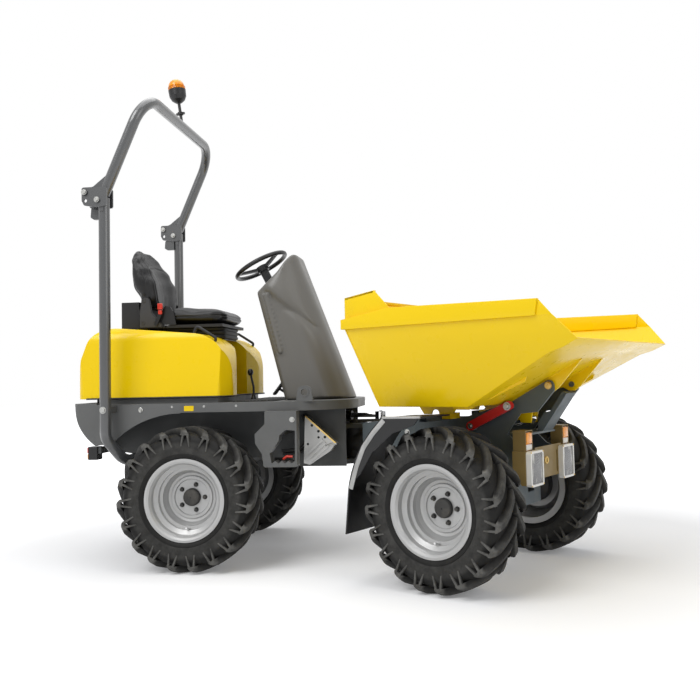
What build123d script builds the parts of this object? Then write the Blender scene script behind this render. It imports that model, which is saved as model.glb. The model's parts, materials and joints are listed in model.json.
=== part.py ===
"""Articulated site dumper with a front-tipping skip, a folding roll bar and a bonnet under the seat.

Millimetres. +X runs forward along the rear module, +Y to the machine's left, +Z up.
The rear module is drawn from its own axle, the front module from the steering pivot.
The machine is parked with its front module steered to the right.
The origin is the bottom centre of the whole machine's box.
"""
from math import atan2, cos, degrees, hypot, radians, sin
import os

from build123d import *

os.makedirs("parts", exist_ok=True)

# ---- driving dimensions ---------------------------------------------------------------------
REAR_BASE = 820.0            # rear axle to steering pivot
FRONT_BASE = 900.0           # steering pivot to front axle
STEER_REST = 29.0            # degrees that the front module is turned to the right as parked
TRACK = 1049.0               # tyre centre to tyre centre
RUN = 0.3                    # running clearance of pins and bearings

TYRE_R = 380.0               # over the lugs
TYRE_CARCASS_R = 352.0       # tread base
TYRE_HALF = 132.0            # half the section width, over the lugs
TYRE_WALL_HALF = 124.0       # half the width of the side walls
LUG_COUNT = 19               # on each half of the tread
LUG_FOOT = 4.8               # degrees, half the angle that a lug's foot spans
LUG_CREST = 3.6
RIM_R = 217.0                # over the flange
RIM_SEAT_R = 194.0           # under the bead
RIM_HALF = 120.0             # half the width over the flanges
RIM_GAUGE = 9.0
WHEEL_OFFSET = -22.0         # hub face from the tyre's centre plane, outwards positive
HUB_R = 47.0                 # pilot of the hub, through the wheel disc
HUB_DRUM_R = 105.0
AXLE_TUBE_R = 48.0

DECK_TOP = 880.0
DECK_DEPTH = 50.0            # side beam of the deck
DECK_HALF = 480.0
DECK_REAR = -560.0
DECK_FRONT = 858.0
DECK_CORNER_R = 344.0
DECK_PLATE = 8.0
ARCH_R = 559.0               # cut in the skirts round the rear tyres
ARCH_X = -75.0               # where the arch meets the deck's beam
SKIRT_BOTTOM = 660.0

SIDE_PLATE = 12.0            # chassis plate gauge
CHASSIS_HALF = 250.0
CHASSIS_BOTTOM = 560.0

PIVOT_Z = 622.0              # height of the oscillation axis, middle of the steering pivot
PIVOT_PIN_R = 35.0
EAR_T = 25.0
EAR_HALF_GAP = 88.0          # from PIVOT_Z to the near face of each ear
EAR_R = 62.0
LINK_R = 56.0
TRUNNION_R = 48.0
TRUNNION_START = 90.0        # shoulder that the front chassis's bearing plate faces
BEARING_X = 170.0
BEARING_T = 50.0

HOOD_HALF = 430.0
HOOD_BOTTOM = 912.0
HOOD_TOP = 1308.0
HOOD_REAR = -700.0
HOOD_FRONT = 180.0
HOOD_WALL = 5.0
HOOD_GAP = 5.0               # hood's lower edge above its sill
HOOD_CHANNEL_HALF = 118.0
HOOD_CHANNEL_DEPTH = 150.0
HOOD_HINGE_X = -664.0
HOOD_HINGE_Z = 934.0

POST_R = 30.0
POST_X = -464.0
POST_Y = 561.0
POST_TOP = 2012.0
FOLD_X = -556.0              # fold pin of the roll bar
FOLD_Z = 2040.0
HOOP_TOP = 2575.0
HOOP_TOP_X = -225.0
HOOP_BEND = 170.0

STEER_ARM_R = 150.0          # steering cylinder's pin on the link
STEER_ARM_ANGLE = 40.0       # degrees, from the front module's centre line
STEER_BASE_X = -380.0        # steering cylinder's fixed pin, from the steering pivot
STEER_BASE_Y = 150.0
STEER_CYL_Z = 776.0

WHEEL_TILT = 27.0            # steering wheel
WHEEL_X = 265.0
WHEEL_Z = 1687.0
STEERING_R = 172.0

TIP_BASE_X = 300.0           # tipping cylinder's fixed pin, in the front module
TIP_BASE_Z = 560.0
TIP_EYE_X = 1106.0           # its rod eye, on the skip
TIP_EYE_Z = 772.0
SKIP_PIVOT_X = 1287.0
SKIP_PIVOT_Z = 940.0
SKIP_WALL = 6.0
SKIP_FLOOR_Z = 851.0
SKIP_FLOOR_HALF = 520.0
SKIP_RAIL_HALF = 662.0
SKIP_RAIL_Z = 1240.0         # underside of the top rail
SKIP_RAIL_T = 20.0
LIP_X = 1621.0
LIP_Z = 1138.0

LIFT_X = 614.0               # lifting eye on each edge of the deck
LIFT_Y = DECK_HALF - 18
LIFT_Z = 928.0
LIFT_R = 18.0
LIFT_T = 16.0
TOW_X = -645.0               # towing jaw in the counterweight
TOW_Z = 810.0
TOW_GAP = 60.0
TOW_R = 15.5
BELLY_R = 284.0              # rounded rear of the counterweight, in side view
LAMP_X = 1206.0              # front of the lamp brackets
LAMP_Y = 192.0               # middle of each headlight
LAMP_HALF = 72.0
LAMP_LOW = 462.0
LAMP_HIGH = 630.0
LAMP_BOX_Y = 222.0           # middle of each indicator box, on top of its headlight
LAMP_BOX_HALF = 39.0
FENDER_IN = 380.0            # inner edge of the mudguards
FENDER_OUT = 652.0
STRUT_Y = 204.0              # safety strut, stowed on the right side of the front chassis

# ---- places worked out from them ------------------------------------------------------------
AXLE_Z = TYRE_R * cos(radians(LUG_CREST))     # each wheel stands on the flat crest of a lug
SLOPE = (SKIP_RAIL_HALF - SKIP_FLOOR_HALF) / (SKIP_RAIL_Z - SKIP_FLOOR_Z)
LIP_HALF = SKIP_FLOOR_HALF + SLOPE * (LIP_Z - SKIP_FLOOR_Z)
RAIL_FRONT_X = 1467.0
RAIL_FRONT_Z = 1312.0
turn_c = cos(radians(STEER_REST))
turn_s = sin(radians(STEER_REST))
COUNTERWEIGHT_REAR = -702.0
LOW_X = COUNTERWEIGHT_REAR - REAR_BASE
HIGH_X = LIP_X * turn_c + LIP_HALF * turn_s
LOW_Y = -LIP_X * turn_s - LIP_HALF * turn_c
HIGH_Y = TRACK / 2 + TYRE_HALF
CENTRE_X = (LOW_X + HIGH_X) / 2
CENTRE_Y = (LOW_Y + HIGH_Y) / 2

origin = Pos(-CENTRE_X, -CENTRE_Y, 0)
rear = origin * Pos(-REAR_BASE, 0, 0)
front = origin * Rot(0, 0, -STEER_REST)


# ---- drawing helpers ------------------------------------------------------------------------
def outline(points, corner=0.0):
    """A flat face through the points, with every corner rounded alike."""
    face = make_face(Polyline(*points, close=True))
    return fillet(face.vertices(), corner) if corner else face


def rounded(points):
    """A flat face through (u, v, radius) corners, each rounded by its own radius."""
    face = make_face(Polyline(*[(u, v) for u, v, _ in points], close=True))
    for u, v, radius in points:
        if radius:
            corner = min(face.vertices(), key=lambda w: hypot(w.X - u, w.Y - v))
            face = fillet(corner, radius)
    return face


def side(face, y0, y1):
    """A face drawn in (x, z), thickened from y0 to y1."""
    return extrude(Plane.XZ.offset(-y0) * face, amount=y1 - y0, dir=(0, 1, 0))


def flat(face, z0, z1):
    """A face drawn in (x, y), thickened from z0 to z1."""
    return extrude(Pos(0, 0, z0) * face, amount=z1 - z0, dir=(0, 0, 1))


def across(face, x0, x1):
    """A face drawn in (y, z), thickened from x0 to x1."""
    return extrude(Plane.YZ.offset(x0) * face, amount=x1 - x0, dir=(1, 0, 0))


def block(x0, x1, y0, y1, z0, z1):
    return Pos((x0 + x1) / 2, (y0 + y1) / 2, (z0 + z1) / 2) * Box(x1 - x0, y1 - y0, z1 - z0)


def round_y(x, z, r, y0, y1):
    """A round bar along Y."""
    return Pos(x, (y0 + y1) / 2, z) * Rot(90, 0, 0) * Cylinder(r, y1 - y0)


def round_x(y, z, r, x0, x1):
    return Pos((x0 + x1) / 2, y, z) * Rot(0, 90, 0) * Cylinder(r, x1 - x0)


def round_z(x, y, r, z0, z1):
    return Pos(x, y, (z0 + z1) / 2) * Cylinder(r, z1 - z0)


def bar(points, radius, bend):
    """A round bar along a bent centre line."""
    path = FilletPolyline(*points, radius=bend) if len(points) > 2 else Line(*points)
    start = Vector(*points[0])
    plane = Plane(origin=start, z_dir=Vector(*points[1]) - start)
    return sweep(plane * Circle(radius), path=path)


def spun_y(points, angle=360.0):
    """A solid of revolution about the Y axis, drawn in (radius, y)."""
    return revolve(make_face(Polyline(*points, close=True)), axis=Axis.Y, revolution_arc=angle)


def both(shape):
    """The shape and its mirror image on the machine's other side."""
    return [shape, mirror(shape, about=Plane.XZ)]


nodes = {}


def keep(name, place, *shapes):
    """File a node's solids under its name, in the machine's own frame."""
    placed = [place * solid for shape in shapes for solid in shape.solids()]
    nodes[name] = placed[0] if len(placed) == 1 else Compound(placed)


# ---- wheels ---------------------------------------------------------------------------------
LUG_PITCH = 360.0 / LUG_COUNT
LUG_ROWS = (                 # one half of the tread, from the centre line out
    # foot y, foot radius, crest y, crest radius, lag in degrees
    (0.0, TYRE_CARCASS_R, 0.0, TYRE_R, 0.0),
    (88.0, 345.0, 100.0, TYRE_R - 4, 15.5),
    (114.0, 326.0, TYRE_HALF, TYRE_R - 22, 19.0),
)
TYRE_WALL = (                # from the lugs' lower ends down to the bore
    # y, radius
    (TYRE_WALL_HALF, 286.0),
    (RIM_HALF - 9, RIM_R + 2),
    (RIM_HALF - 9, (RIM_SEAT_R + RUN) / cos(radians(LUG_FOOT))),
)


def tyre_point(y, radius, angle):
    return Vector(radius * sin(radians(angle)), y, radius * cos(radians(angle)))


def strip(inner, outer):
    """Two triangles in each gap between two rows of points."""
    corners = []
    for a, b, c, d in zip(inner, inner[1:], outer, outer[1:]):
        corners += [(a, b, c), (b, d, c)]
    return corners


def tread_patch(hand, start):
    """Facets of one lug, of the groove behind it and of the wall below both, on the side of hand."""
    rows = []
    for foot_y, foot_r, crest_y, crest_r, lag in LUG_ROWS:
        foot_1, foot_2, foot_3 = [tyre_point(hand * foot_y, foot_r, start + lag + a)
                                  for a in (-LUG_FOOT, LUG_FOOT, LUG_PITCH - LUG_FOOT)]
        crest_1, crest_2 = [tyre_point(hand * crest_y, crest_r, start + lag + a) for a in (-LUG_CREST, LUG_CREST)]
        rows.append([foot_1, crest_1, crest_2, foot_2, foot_3])
    centre, middle, shoulder = rows
    opposite = [tyre_point(0, TYRE_CARCASS_R, start + LUG_PITCH / 2 + a) for a in (-LUG_FOOT, LUG_FOOT)]
    floor = [centre[3], *opposite, centre[4]]
    facets = [tuple(centre[:4])] + strip(centre[:4], middle[:4]) + strip(middle, shoulder)
    facets += [(a, b, middle[3]) for a, b in zip(floor, floor[1:])] + [(centre[4], middle[4], middle[3])]
    lag = LUG_ROWS[-1][-1]
    wall, bead, seat = [[tyre_point(hand * y, r, start + lag + a) for a in (-LUG_FOOT, LUG_FOOT, LUG_PITCH - LUG_FOOT)]
                        for y, r in TYRE_WALL]
    facets += [(shoulder[0], shoulder[1], wall[0]), (shoulder[1], shoulder[2], wall[0]),
               (shoulder[2], wall[1], wall[0]), (shoulder[2], shoulder[3], wall[1])]
    facets += strip(shoulder[3:], wall[1:]) + strip(wall, bead) + strip(bead, seat)
    if hand > 0:
        y, r = TYRE_WALL[-1]
        far = [tyre_point(-y, r, start + lag + a) for a in (LUG_FOOT - LUG_PITCH / 2, LUG_PITCH / 2 - LUG_FOOT,
                                                            LUG_PITCH / 2 + LUG_FOOT)]
        facets += strip(seat, far)
    return facets


def tyre():
    """Outer side at +Y: a carcass with two rows of chevron lugs, half a pitch apart, in flat facets."""
    facets = []
    for i in range(LUG_COUNT):
        facets += tread_patch(1, i * LUG_PITCH) + tread_patch(-1, (i + 0.5) * LUG_PITCH)
    return Solid(Shell([Face(Wire.make_polygon(corners, close=True)) for corners in facets]))


def rim():
    """Outer side at +Y: a drop-centre rim on a dished disc with five bolt holes."""
    g = RIM_GAUGE
    face = WHEEL_OFFSET
    seat = RIM_SEAT_R
    well = 172.0
    profile = [(HUB_R + 0.4, face), (HUB_R + 0.4, face + g), (94, face + g), (98, face + g + 6), (112, face + g + 6),
               (116, face + g), (130, face + 14), (142, face + 34), (148, face + 52), (well - g, face + 56),
               (well - g, 58), (seat - g, 70), (seat - g, RIM_HALF - 18), (seat, RIM_HALF - 5), (RIM_R - 12, RIM_HALF),
               (RIM_R, RIM_HALF - 2), (RIM_R, RIM_HALF - 8),
               (seat, RIM_HALF - 8), (seat, -RIM_HALF + 8), (RIM_R, -RIM_HALF + 8), (RIM_R, -RIM_HALF),
               (seat - g, -RIM_HALF), (seat - g, face - 40), (well - g, face + 14), (158, face + 42), (150, face + 26),
               (136, face)]
    wheel = spun_y(profile)
    bolt = round_y(70, 0, 13.0, face + 2, face + g + 5) + round_y(70, 0, 8.0, face - 5, face + 5)
    for i in range(5):
        wheel -= Rot(0, 72 * i, 0) * bolt
    return wheel


left_tyre = tyre()
left_rim = rim()
right_tyre = mirror(left_tyre, about=Plane.XZ)
right_rim = mirror(left_rim, about=Plane.XZ)
for corner, place, x in (("rear", rear, 0.0), ("front", front, FRONT_BASE)):
    for hand, y, tyre_solid, rim_solid in (("left", TRACK / 2, left_tyre, left_rim),
                                           ("right", -TRACK / 2, right_tyre, right_rim)):
        spot = place * Pos(x, y, AXLE_Z)
        keep("tyre_" + corner + "_" + hand, spot, tyre_solid)
        keep("rim_" + corner + "_" + hand, spot, rim_solid)

HUB_FACE = TRACK / 2 + WHEEL_OFFSET


def axle(room=0.0):
    """Axle with its differential housing, tapered tubes, hub drums and pilots, about the Y axis."""
    half = [(0, HUB_FACE + 26), (HUB_R - 8, HUB_FACE + 26), (HUB_R, HUB_FACE + 18),
            (HUB_R, HUB_FACE - RUN), (HUB_DRUM_R, HUB_FACE - RUN), (HUB_DRUM_R, HUB_FACE - 58),
            (70, HUB_FACE - 74), (AXLE_TUBE_R + room, HUB_FACE - 140), (AXLE_TUBE_R + room, 170),
            (118 + room, 92), (126 + room, 0)]
    beam = spun_y(half + [(r, -y) for r, y in reversed(half[:-1])])
    return Pos(0, 0, AXLE_Z) * beam


# ---- rear module ----------------------------------------------------------------------------
BEAM_BOTTOM = DECK_TOP - DECK_DEPTH
EAR_LOW = PIVOT_Z - EAR_HALF_GAP - EAR_T
EAR_HIGH = PIVOT_Z + EAR_HALF_GAP
STEER_BASE = REAR_BASE + STEER_BASE_X
CROSS_Z = 610.0


def rear_chassis():
    """Two long side plates, cross plates, axle saddles and a nose with the two steering ears."""
    plate = outline([(-568, CROSS_Z), (-568, BEAM_BOTTOM), (800, BEAM_BOTTOM), (800, EAR_LOW), (560, EAR_LOW),
                     (470, CHASSIS_BOTTOM), (250, CHASSIS_BOTTOM), (180, 500), (-180, 500), (-250, CHASSIS_BOTTOM)])
    inner = CHASSIS_HALF - SIDE_PLATE
    rails = both(side(plate, inner, CHASSIS_HALF))
    cross = [block(-568, -548, -inner, inner, CROSS_Z, BEAM_BOTTOM),
             block(-190, -178, -inner, inner, 505, BEAM_BOTTOM - 60),
             block(178, 190, -inner, inner, 505, BEAM_BOTTOM - 60),
             block(-560, 560, -inner, inner, BEAM_BOTTOM - 10, BEAM_BOTTOM)]
    ear = rounded([(500, -inner - 4, 0), (500, inner + 4, 0), (640, inner + 4, 0), (REAR_BASE + EAR_R, 92, 40),
                   (REAR_BASE + EAR_R, -92, 40), (640, -inner - 4, 0)])
    ears = [flat(ear, EAR_LOW, EAR_LOW + EAR_T), flat(ear, EAR_HIGH, EAR_HIGH + EAR_T)]
    saddles = both(block(-70, 70, 176, inner + 4, AXLE_Z + 10, 512))
    lamp_bar = both(block(-568, -548, CHASSIS_HALF - 4, 440, CROSS_Z, CROSS_Z + 36))
    step_arms = both(block(470, 500, CHASSIS_HALF - 4, DECK_HALF - 12, 700, 730))
    eye_low = STEER_CYL_Z - 32
    bracket = block(STEER_BASE - 40, STEER_BASE + 40, STEER_BASE_Y - 30, inner + 4, eye_low - 14, eye_low)
    pin = round_z(STEER_BASE, STEER_BASE_Y, 12, eye_low - 10, BEAM_BOTTOM - 4)
    frame = rails[0].fuse(rails[1], *cross, *ears, *saddles, *lamp_bar, *step_arms, bracket, pin)
    frame -= round_z(REAR_BASE, 0, PIVOT_PIN_R + RUN, EAR_LOW - 10, EAR_HIGH + EAR_T + 10)
    return frame - axle(RUN)


def deck():
    """Operator's platform: a plate with a deep rolled edge, round front corners,
    a sill under the hood and a lifting eye on each side."""
    r = DECK_CORNER_R
    plan = rounded([(DECK_REAR, -DECK_HALF, 0), (DECK_FRONT, -DECK_HALF, r), (DECK_FRONT, DECK_HALF, r),
                    (DECK_REAR, DECK_HALF, 0)])
    inner = DECK_HALF - DECK_PLATE
    nose = DECK_FRONT - DECK_PLATE
    inset = rounded([(DECK_REAR - 1, -inner, 0), (nose, -inner, r - DECK_PLATE), (nose, inner, r - DECK_PLATE),
                     (DECK_REAR - 1, inner, 0)])
    body = flat(plan, BEAM_BOTTOM, DECK_TOP)
    body -= flat(inset, BEAM_BOTTOM - 1, DECK_TOP - DECK_PLATE)
    half = HOOD_HALF - 14
    sill = block(DECK_REAR, HOOD_FRONT - 60, -half, half, DECK_TOP, HOOD_BOTTOM - HOOD_GAP)
    sill -= block(DECK_REAR + 30, HOOD_FRONT - 90, -half + 30, half - 30, DECK_TOP - 1, HOOD_BOTTOM)
    lug = rounded([(LIFT_X - 46, DECK_TOP - 2, 0), (LIFT_X + 46, DECK_TOP - 2, 0), (LIFT_X + 36, LIFT_Z + 34, 32),
                   (LIFT_X - 36, LIFT_Z + 34, 32)])
    boss = round_y(LIFT_X, LIFT_Z, LIFT_R + 7, LIFT_Y - LIFT_T / 2 - 3, LIFT_Y + LIFT_T / 2 + 3)
    lugs = both(side(lug, LIFT_Y - LIFT_T / 2, LIFT_Y + LIFT_T / 2) + boss)
    holes = both(round_y(LIFT_X, LIFT_Z, LIFT_R, LIFT_Y - 30, LIFT_Y + 30))
    return body.fuse(sill, *lugs).cut(*holes)


def deck_skirt():
    """Left skirt under the deck's rear edge, arched over the tyre."""
    panel = outline([(DECK_REAR, BEAM_BOTTOM), (DECK_REAR, SKIRT_BOTTOM), (-440, SKIRT_BOTTOM), (-425, 703),
                     (ARCH_X, 703), (ARCH_X, BEAM_BOTTOM)])
    arch = Pos(ARCH_X, BEAM_BOTTOM - 4 - ARCH_R) * Circle(ARCH_R)
    return side(panel - arch, DECK_HALF - DECK_PLATE, DECK_HALF)


def counterweight():
    """Cast rear weight with a rounded lower edge, the hood's hinge ears and the towing jaw."""
    back = COUNTERWEIGHT_REAR
    belly = outline([(-568, 888), (back - 20, 888), (back - 20, 600), (-568, 655)])
    profile = side(belly & Pos(back + BELLY_R, 888) * Circle(BELLY_R), -450, 450)
    plan = rounded([(-560, -450, 0), (-560, 450, 0), (back - 10, 450, 40), (back - 10, -450, 40)])
    body = profile & flat(plan, 600, 900)
    ears = both(block(HOOD_HINGE_X - 12, HOOD_HINGE_X + 12, 200, 224, 886, HOOD_HINGE_Z + 12))
    pins = both(round_y(HOOD_HINGE_X, HOOD_HINGE_Z, 7, 210, 245))
    body = body.fuse(*ears, *pins)
    body -= block(back - 10, TOW_X + 60, -60, 60, TOW_Z - TOW_GAP / 2, TOW_Z + TOW_GAP / 2)
    return body - round_z(TOW_X, 0, TOW_R, 600, TOW_Z + TOW_GAP / 2 + 30)


def hood_form(inset):
    """The hood's outer form, drawn in a little on every side by the inset."""
    i = inset
    profile = rounded([(HOOD_REAR + i, HOOD_BOTTOM - i, 0), (HOOD_REAR + 14 + i, HOOD_TOP - 198, 250 - i),
                       (HOOD_REAR + 90 + i, HOOD_TOP + 14 - i, 150 - i), (HOOD_FRONT - 8 - i, HOOD_TOP - 60 - i, 215 - i),
                       (HOOD_FRONT - i, HOOD_BOTTOM - i, 0)])
    half, front = HOOD_HALF - i, HOOD_FRONT - i
    lobe = [(front - 52, -half, 30), (front, -half + 95, 70), (front - 6, -240, 90), (front - 50, -HOOD_CHANNEL_HALF, 0)]
    plan = rounded([(HOOD_REAR + i, -half, 60 - i)] + lobe + [(x, -y, r) for x, y, r in reversed(lobe)]
                   + [(HOOD_REAR + i, half, 60 - i)])
    end = rounded([(-half, HOOD_BOTTOM - i, 0), (half, HOOD_BOTTOM - i, 0), (half - 24, HOOD_TOP + 5 - i, 90 - i),
                   (-half + 24, HOOD_TOP + 5 - i, 90 - i)])
    form = side(profile, -half, half) & flat(plan, HOOD_BOTTOM - i, HOOD_TOP + 20)
    return form & across(end, HOOD_REAR - 1, HOOD_FRONT + 1)


def hood():
    """Yellow shell in two front lobes, with a recessed channel between them."""
    channel_x = HOOD_FRONT - HOOD_CHANNEL_DEPTH
    half = HOOD_CHANNEL_HALF
    t = HOOD_WALL
    lining = rounded([(channel_x - t, HOOD_BOTTOM, 0), (channel_x - t - 60, HOOD_TOP + 60, 0), (HOOD_FRONT + 50, HOOD_TOP + 60, 0),
                      (HOOD_FRONT + 50, HOOD_BOTTOM, 0)])
    groove = rounded([(channel_x, HOOD_BOTTOM - 20, 0), (channel_x - 60, HOOD_TOP + 80, 0), (HOOD_FRONT + 60, HOOD_TOP + 80, 0),
                      (HOOD_FRONT + 60, HOOD_BOTTOM - 20, 0)])
    outer = hood_form(0.0)
    cavity = hood_form(t) - side(lining, -half - t, half + t)
    shell = outer - cavity - side(groove, -half, half)
    lug = outline([(HOOD_REAR + 2, HOOD_BOTTOM + 6), (HOOD_REAR + 6, HOOD_BOTTOM + 60), (HOOD_HINGE_X + 12, HOOD_HINGE_Z + 14),
                   (HOOD_HINGE_X + 12, HOOD_HINGE_Z - 12)])
    lugs = both(side(lug, 229, 239))
    notches = both(block(HOOD_REAR - 5, HOOD_HINGE_X + 18, 190, 229, HOOD_BOTTOM - 5, HOOD_HINGE_Z + 26))
    holes = both(round_y(HOOD_HINGE_X, HOOD_HINGE_Z, 7 + RUN, 225, 260))
    return shell.cut(*notches).fuse(*lugs).cut(*holes)


def engine():
    return flat(outline([(-520, -230), (-520, 230), (-30, 230), (-30, -230)], 30), DECK_TOP, 1180)


def rops_post():
    """Left post: an upright tube that curves in and forward at its foot, with its hinge plates."""
    foot = [(POST_X + 150, CHASSIS_HALF, 606), (POST_X + 70, 470, 566), (POST_X, POST_Y, 700), (POST_X, POST_Y, POST_TOP)]
    tube = bar(foot, POST_R, 95) - block(-700, 0, CHASSIS_HALF - 60, CHASSIS_HALF, 500, 700)
    plate = rounded([(POST_X + 34, POST_TOP - 48, 12), (POST_X + 34, FOLD_Z + 28, 10), (FOLD_X - 18, FOLD_Z + 28, 12),
                     (FOLD_X - 18, FOLD_Z - 46, 14), (FOLD_X - 4, FOLD_Z - 72, 14), (POST_X - 24, FOLD_Z - 84, 20)])
    peep = round_y(FOLD_X + 4, FOLD_Z - 46, 9, POST_Y - 60, POST_Y + 60)
    cheeks = [side(plate, POST_Y + s * 37 - 4, POST_Y + s * 37 + 4) - peep for s in (-1, 1)]
    catch = rounded([(POST_X - 20, POST_TOP - 40, 0), (FOLD_X + 10, POST_TOP - 50, 4), (FOLD_X + 6, POST_TOP - 100, 8),
                     (FOLD_X + 26, POST_TOP - 113, 8), (POST_X - 20, POST_TOP - 113, 0)])
    tube += block(POST_X - 10, POST_X + 10, POST_Y - 34, POST_Y + 34, POST_TOP - 76, POST_TOP - 10)
    tube += side(catch, POST_Y - 34, POST_Y - 14)
    pin = round_y(FOLD_X, FOLD_Z, 12, POST_Y - 50, POST_Y + 50)
    bolt = round_y(POST_X - 21, FOLD_Z - 43, 12, POST_Y - 47, POST_Y + 47)
    lug = block(POST_X - 30, POST_X + 30, DECK_HALF, POST_Y, 838, 872)
    return tube.fuse(*cheeks, pin, bolt, lug)


def rops_hoop():
    """Folding top of the roll bar: legs that lean forward, and a top bar, on two hinge lugs."""
    low = POST_TOP + 20
    leg = [(POST_X, POST_Y, low), (HOOP_TOP_X, POST_Y, HOOP_TOP)]
    tube = bar(leg + [(x, -y, z) for x, y, z in reversed(leg)], POST_R, HOOP_BEND)
    lug = rounded([(POST_X + 10, low - 8, 4), (POST_X + 56, low + 133, 12), (FOLD_X + 36, FOLD_Z + 38, 25),
                   (FOLD_X - 18, FOLD_Z + 22, 18), (FOLD_X - 18, FOLD_Z - 20, 14), (FOLD_X + 14, FOLD_Z - 20, 8),
                   (POST_X - 40, low - 8, 4)])
    plate = side(lug, POST_Y - 14, POST_Y + 14) - round_y(FOLD_X, FOLD_Z, 12 + RUN, POST_Y - 20, POST_Y + 20)
    return tube.fuse(*both(plate))


def beacon():
    """Flashing beacon on a thin leaning stalk: a bell-shaped body and a low lens with a domed end."""
    spine = Plane.XZ * make_face(Polyline((0, -20), (9, -20), (9, 40), (17, 42), (17, 58), (9, 60), (9, 118), (20, 120),
                                          (40, 136), (51, 160), (53, 199), (0, 199), close=True))
    lean = Rot(0, -8, 0)
    base = lean * revolve(spine, axis=Axis.Z) - Pos(0, 0, -POST_R) * Rot(90, 0, 0) * Cylinder(POST_R, 120)
    lens = Pos(0, 0, 199.3) * Cone(51, 49, 20, align=(Align.CENTER, Align.CENTER, Align.MIN))
    lens += Pos(0, 0, 219.3) * Sphere(49, arc_size1=0, align=(Align.CENTER, Align.CENTER, Align.MIN))
    spot = Pos(HOOP_TOP_X, 0, HOOP_TOP + POST_R)
    return spot * base, spot * lean * lens


def console():
    """Moulded leg shield that leans back towards the operator, with a broad round front and crowned top."""
    low_z, high_z = DECK_TOP + 0.3, 1750.0
    low_half, high_half = 215.0, 205.0
    rear_low, front_low = 434.0, 828.0
    rear_high, front_high = 258.0, 498.0
    low = rounded([(rear_low, -low_half, 40), (front_low, -low_half, 200), (front_low, low_half, 200),
                   (rear_low, low_half, 40)])
    high = rounded([(rear_high, -high_half, 40), (front_high, -high_half, 190), (front_high, high_half, 190),
                    (rear_high, high_half, 40)])
    body = loft([Pos(0, 0, low_z) * low, Pos(0, 0, high_z) * high], ruled=True)
    crown = rounded([(100, 800, 0), (100, 1430, 0), (240, 1500, 60), (452, 1742, 60), (600, 1742, 0), (900, 800, 0)])
    shoulders = rounded([(-low_half - 5, 800, 0), (low_half + 5, 800, 0), (high_half, 1742, 120), (-high_half, 1742, 120)])
    body = (body & side(crown, -300, 300)) & across(shoulders, 0, 1000)
    groove = rounded([(309, 1499, 16), (341, 1505, 16), (440, 1162, 16), (408, 1154, 16)])
    return body.cut(*both(side(groove, low_half - 14, low_half + 20)))


helm = Pos(WHEEL_X, 0, WHEEL_Z) * Rot(0, -WHEEL_TILT, 0)


def steering_column():
    shaft = Pos(0, 0, -190) * Cylinder(26, 151.7, align=(Align.CENTER, Align.CENTER, Align.MIN))
    return helm * shaft - console()


def steering_wheel():
    ring = Torus(STEERING_R - 13, 13)
    hub = Pos(0, 0, -38) * Cylinder(36, 34, align=(Align.CENTER, Align.CENTER, Align.MIN))
    spokes = []
    for angle in (90, 210, 330):
        spoke = side(outline([(20, -30), (20, -10), (STEERING_R - 16, 8), (STEERING_R - 16, -4)]), -11, 11)
        spokes.append(Rot(0, 0, angle) * spoke)
    return helm * ring.fuse(hub, *spokes)


def steps():
    """Foot steps below the deck: folded boxes with a foot hole and a toothed tread."""
    y0, y1 = DECK_HALF - 12, DECK_HALF + 60
    frame = rounded([(411, BEAM_BOTTOM, 0), (583, BEAM_BOTTOM, 0), (583, 537, 10), (402, 537, 12), (394, 606, 14),
                     (358, 662, 14), (356, 712, 14), (411, 764, 14)])
    teeth = [(446 + 18 * i, 556 + (14 if i % 2 else 0)) for i in range(8)]
    hole = outline(teeth + [(574, 728), (522, 732), (490, 704), (486, 676), (436, 610)])
    return side(frame, y0, y1) - side(hole, y0 - 1, y1 + 1)


def seat_frame():
    """Seat pan on its bellows, with the two backrest plates and the document box behind."""
    pan = block(-330, 86, -215, 215, 1313, 1330)
    plate = rounded([(-408, 1316, 0), (-250, 1316, 10), (-285, 1350, 10), (-330, 1400, 10), (-348, 1492, 22),
                     (-392, 1500, 22), (-408, 1400, 10)])
    cheeks = both(side(plate, 225.3, 234))
    link = block(-400, -255, -230, 230, 1316, 1328)
    bellows = flat(rounded([(-300, -150, 20), (66, -150, 40), (66, 150, 40), (-300, 150, 20)]), 1200, 1316)
    box_walls = block(-532, -425, -200, 200, 1316, 1472) - block(-524, -433, -192, 192, 1324, 1480)
    joiner = block(-430, -340, -150, 150, 1316, 1324)
    foot = block(-500, -450, -150, 150, 1270, 1320)
    return pan.fuse(*cheeks, link, bellows, box_walls, joiner, foot) - hood_form(0.0)


def seat_cushion():
    side_view = rounded([(-262, 1330.3, 12), (104, 1330.3, 24), (104, 1420, 36), (-262, 1444, 20)])
    plan = rounded([(-262, -222, 40), (104, -222, 90), (104, 222, 90), (-262, 222, 40)])
    return side(side_view, -230, 230) & flat(plan, 1300, 1500)


def seat_back():
    side_view = rounded([(-372, 1420, 20), (-430, 1544, 60), (-500, 1716, 60), (-506, 1800, 30), (-450, 1815, 30),
                         (-392, 1720, 60), (-330, 1590, 60), (-300, 1446, 14)])
    front_view = rounded([(-225, 1380, 0), (225, 1380, 0), (225, 1560, 60), (165, 1830, 90), (-165, 1830, 90),
                          (-225, 1560, 60)])
    return side(side_view, -225, 225) & across(front_view, -600, 0)


def grab_handle():
    pts = [(-45, 385, 1225), (-8, 385, 1308), (104, 385, 1236), (66, 385, 1160)]
    return bar(pts, 6, 12) - hood_form(0.0)


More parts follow.
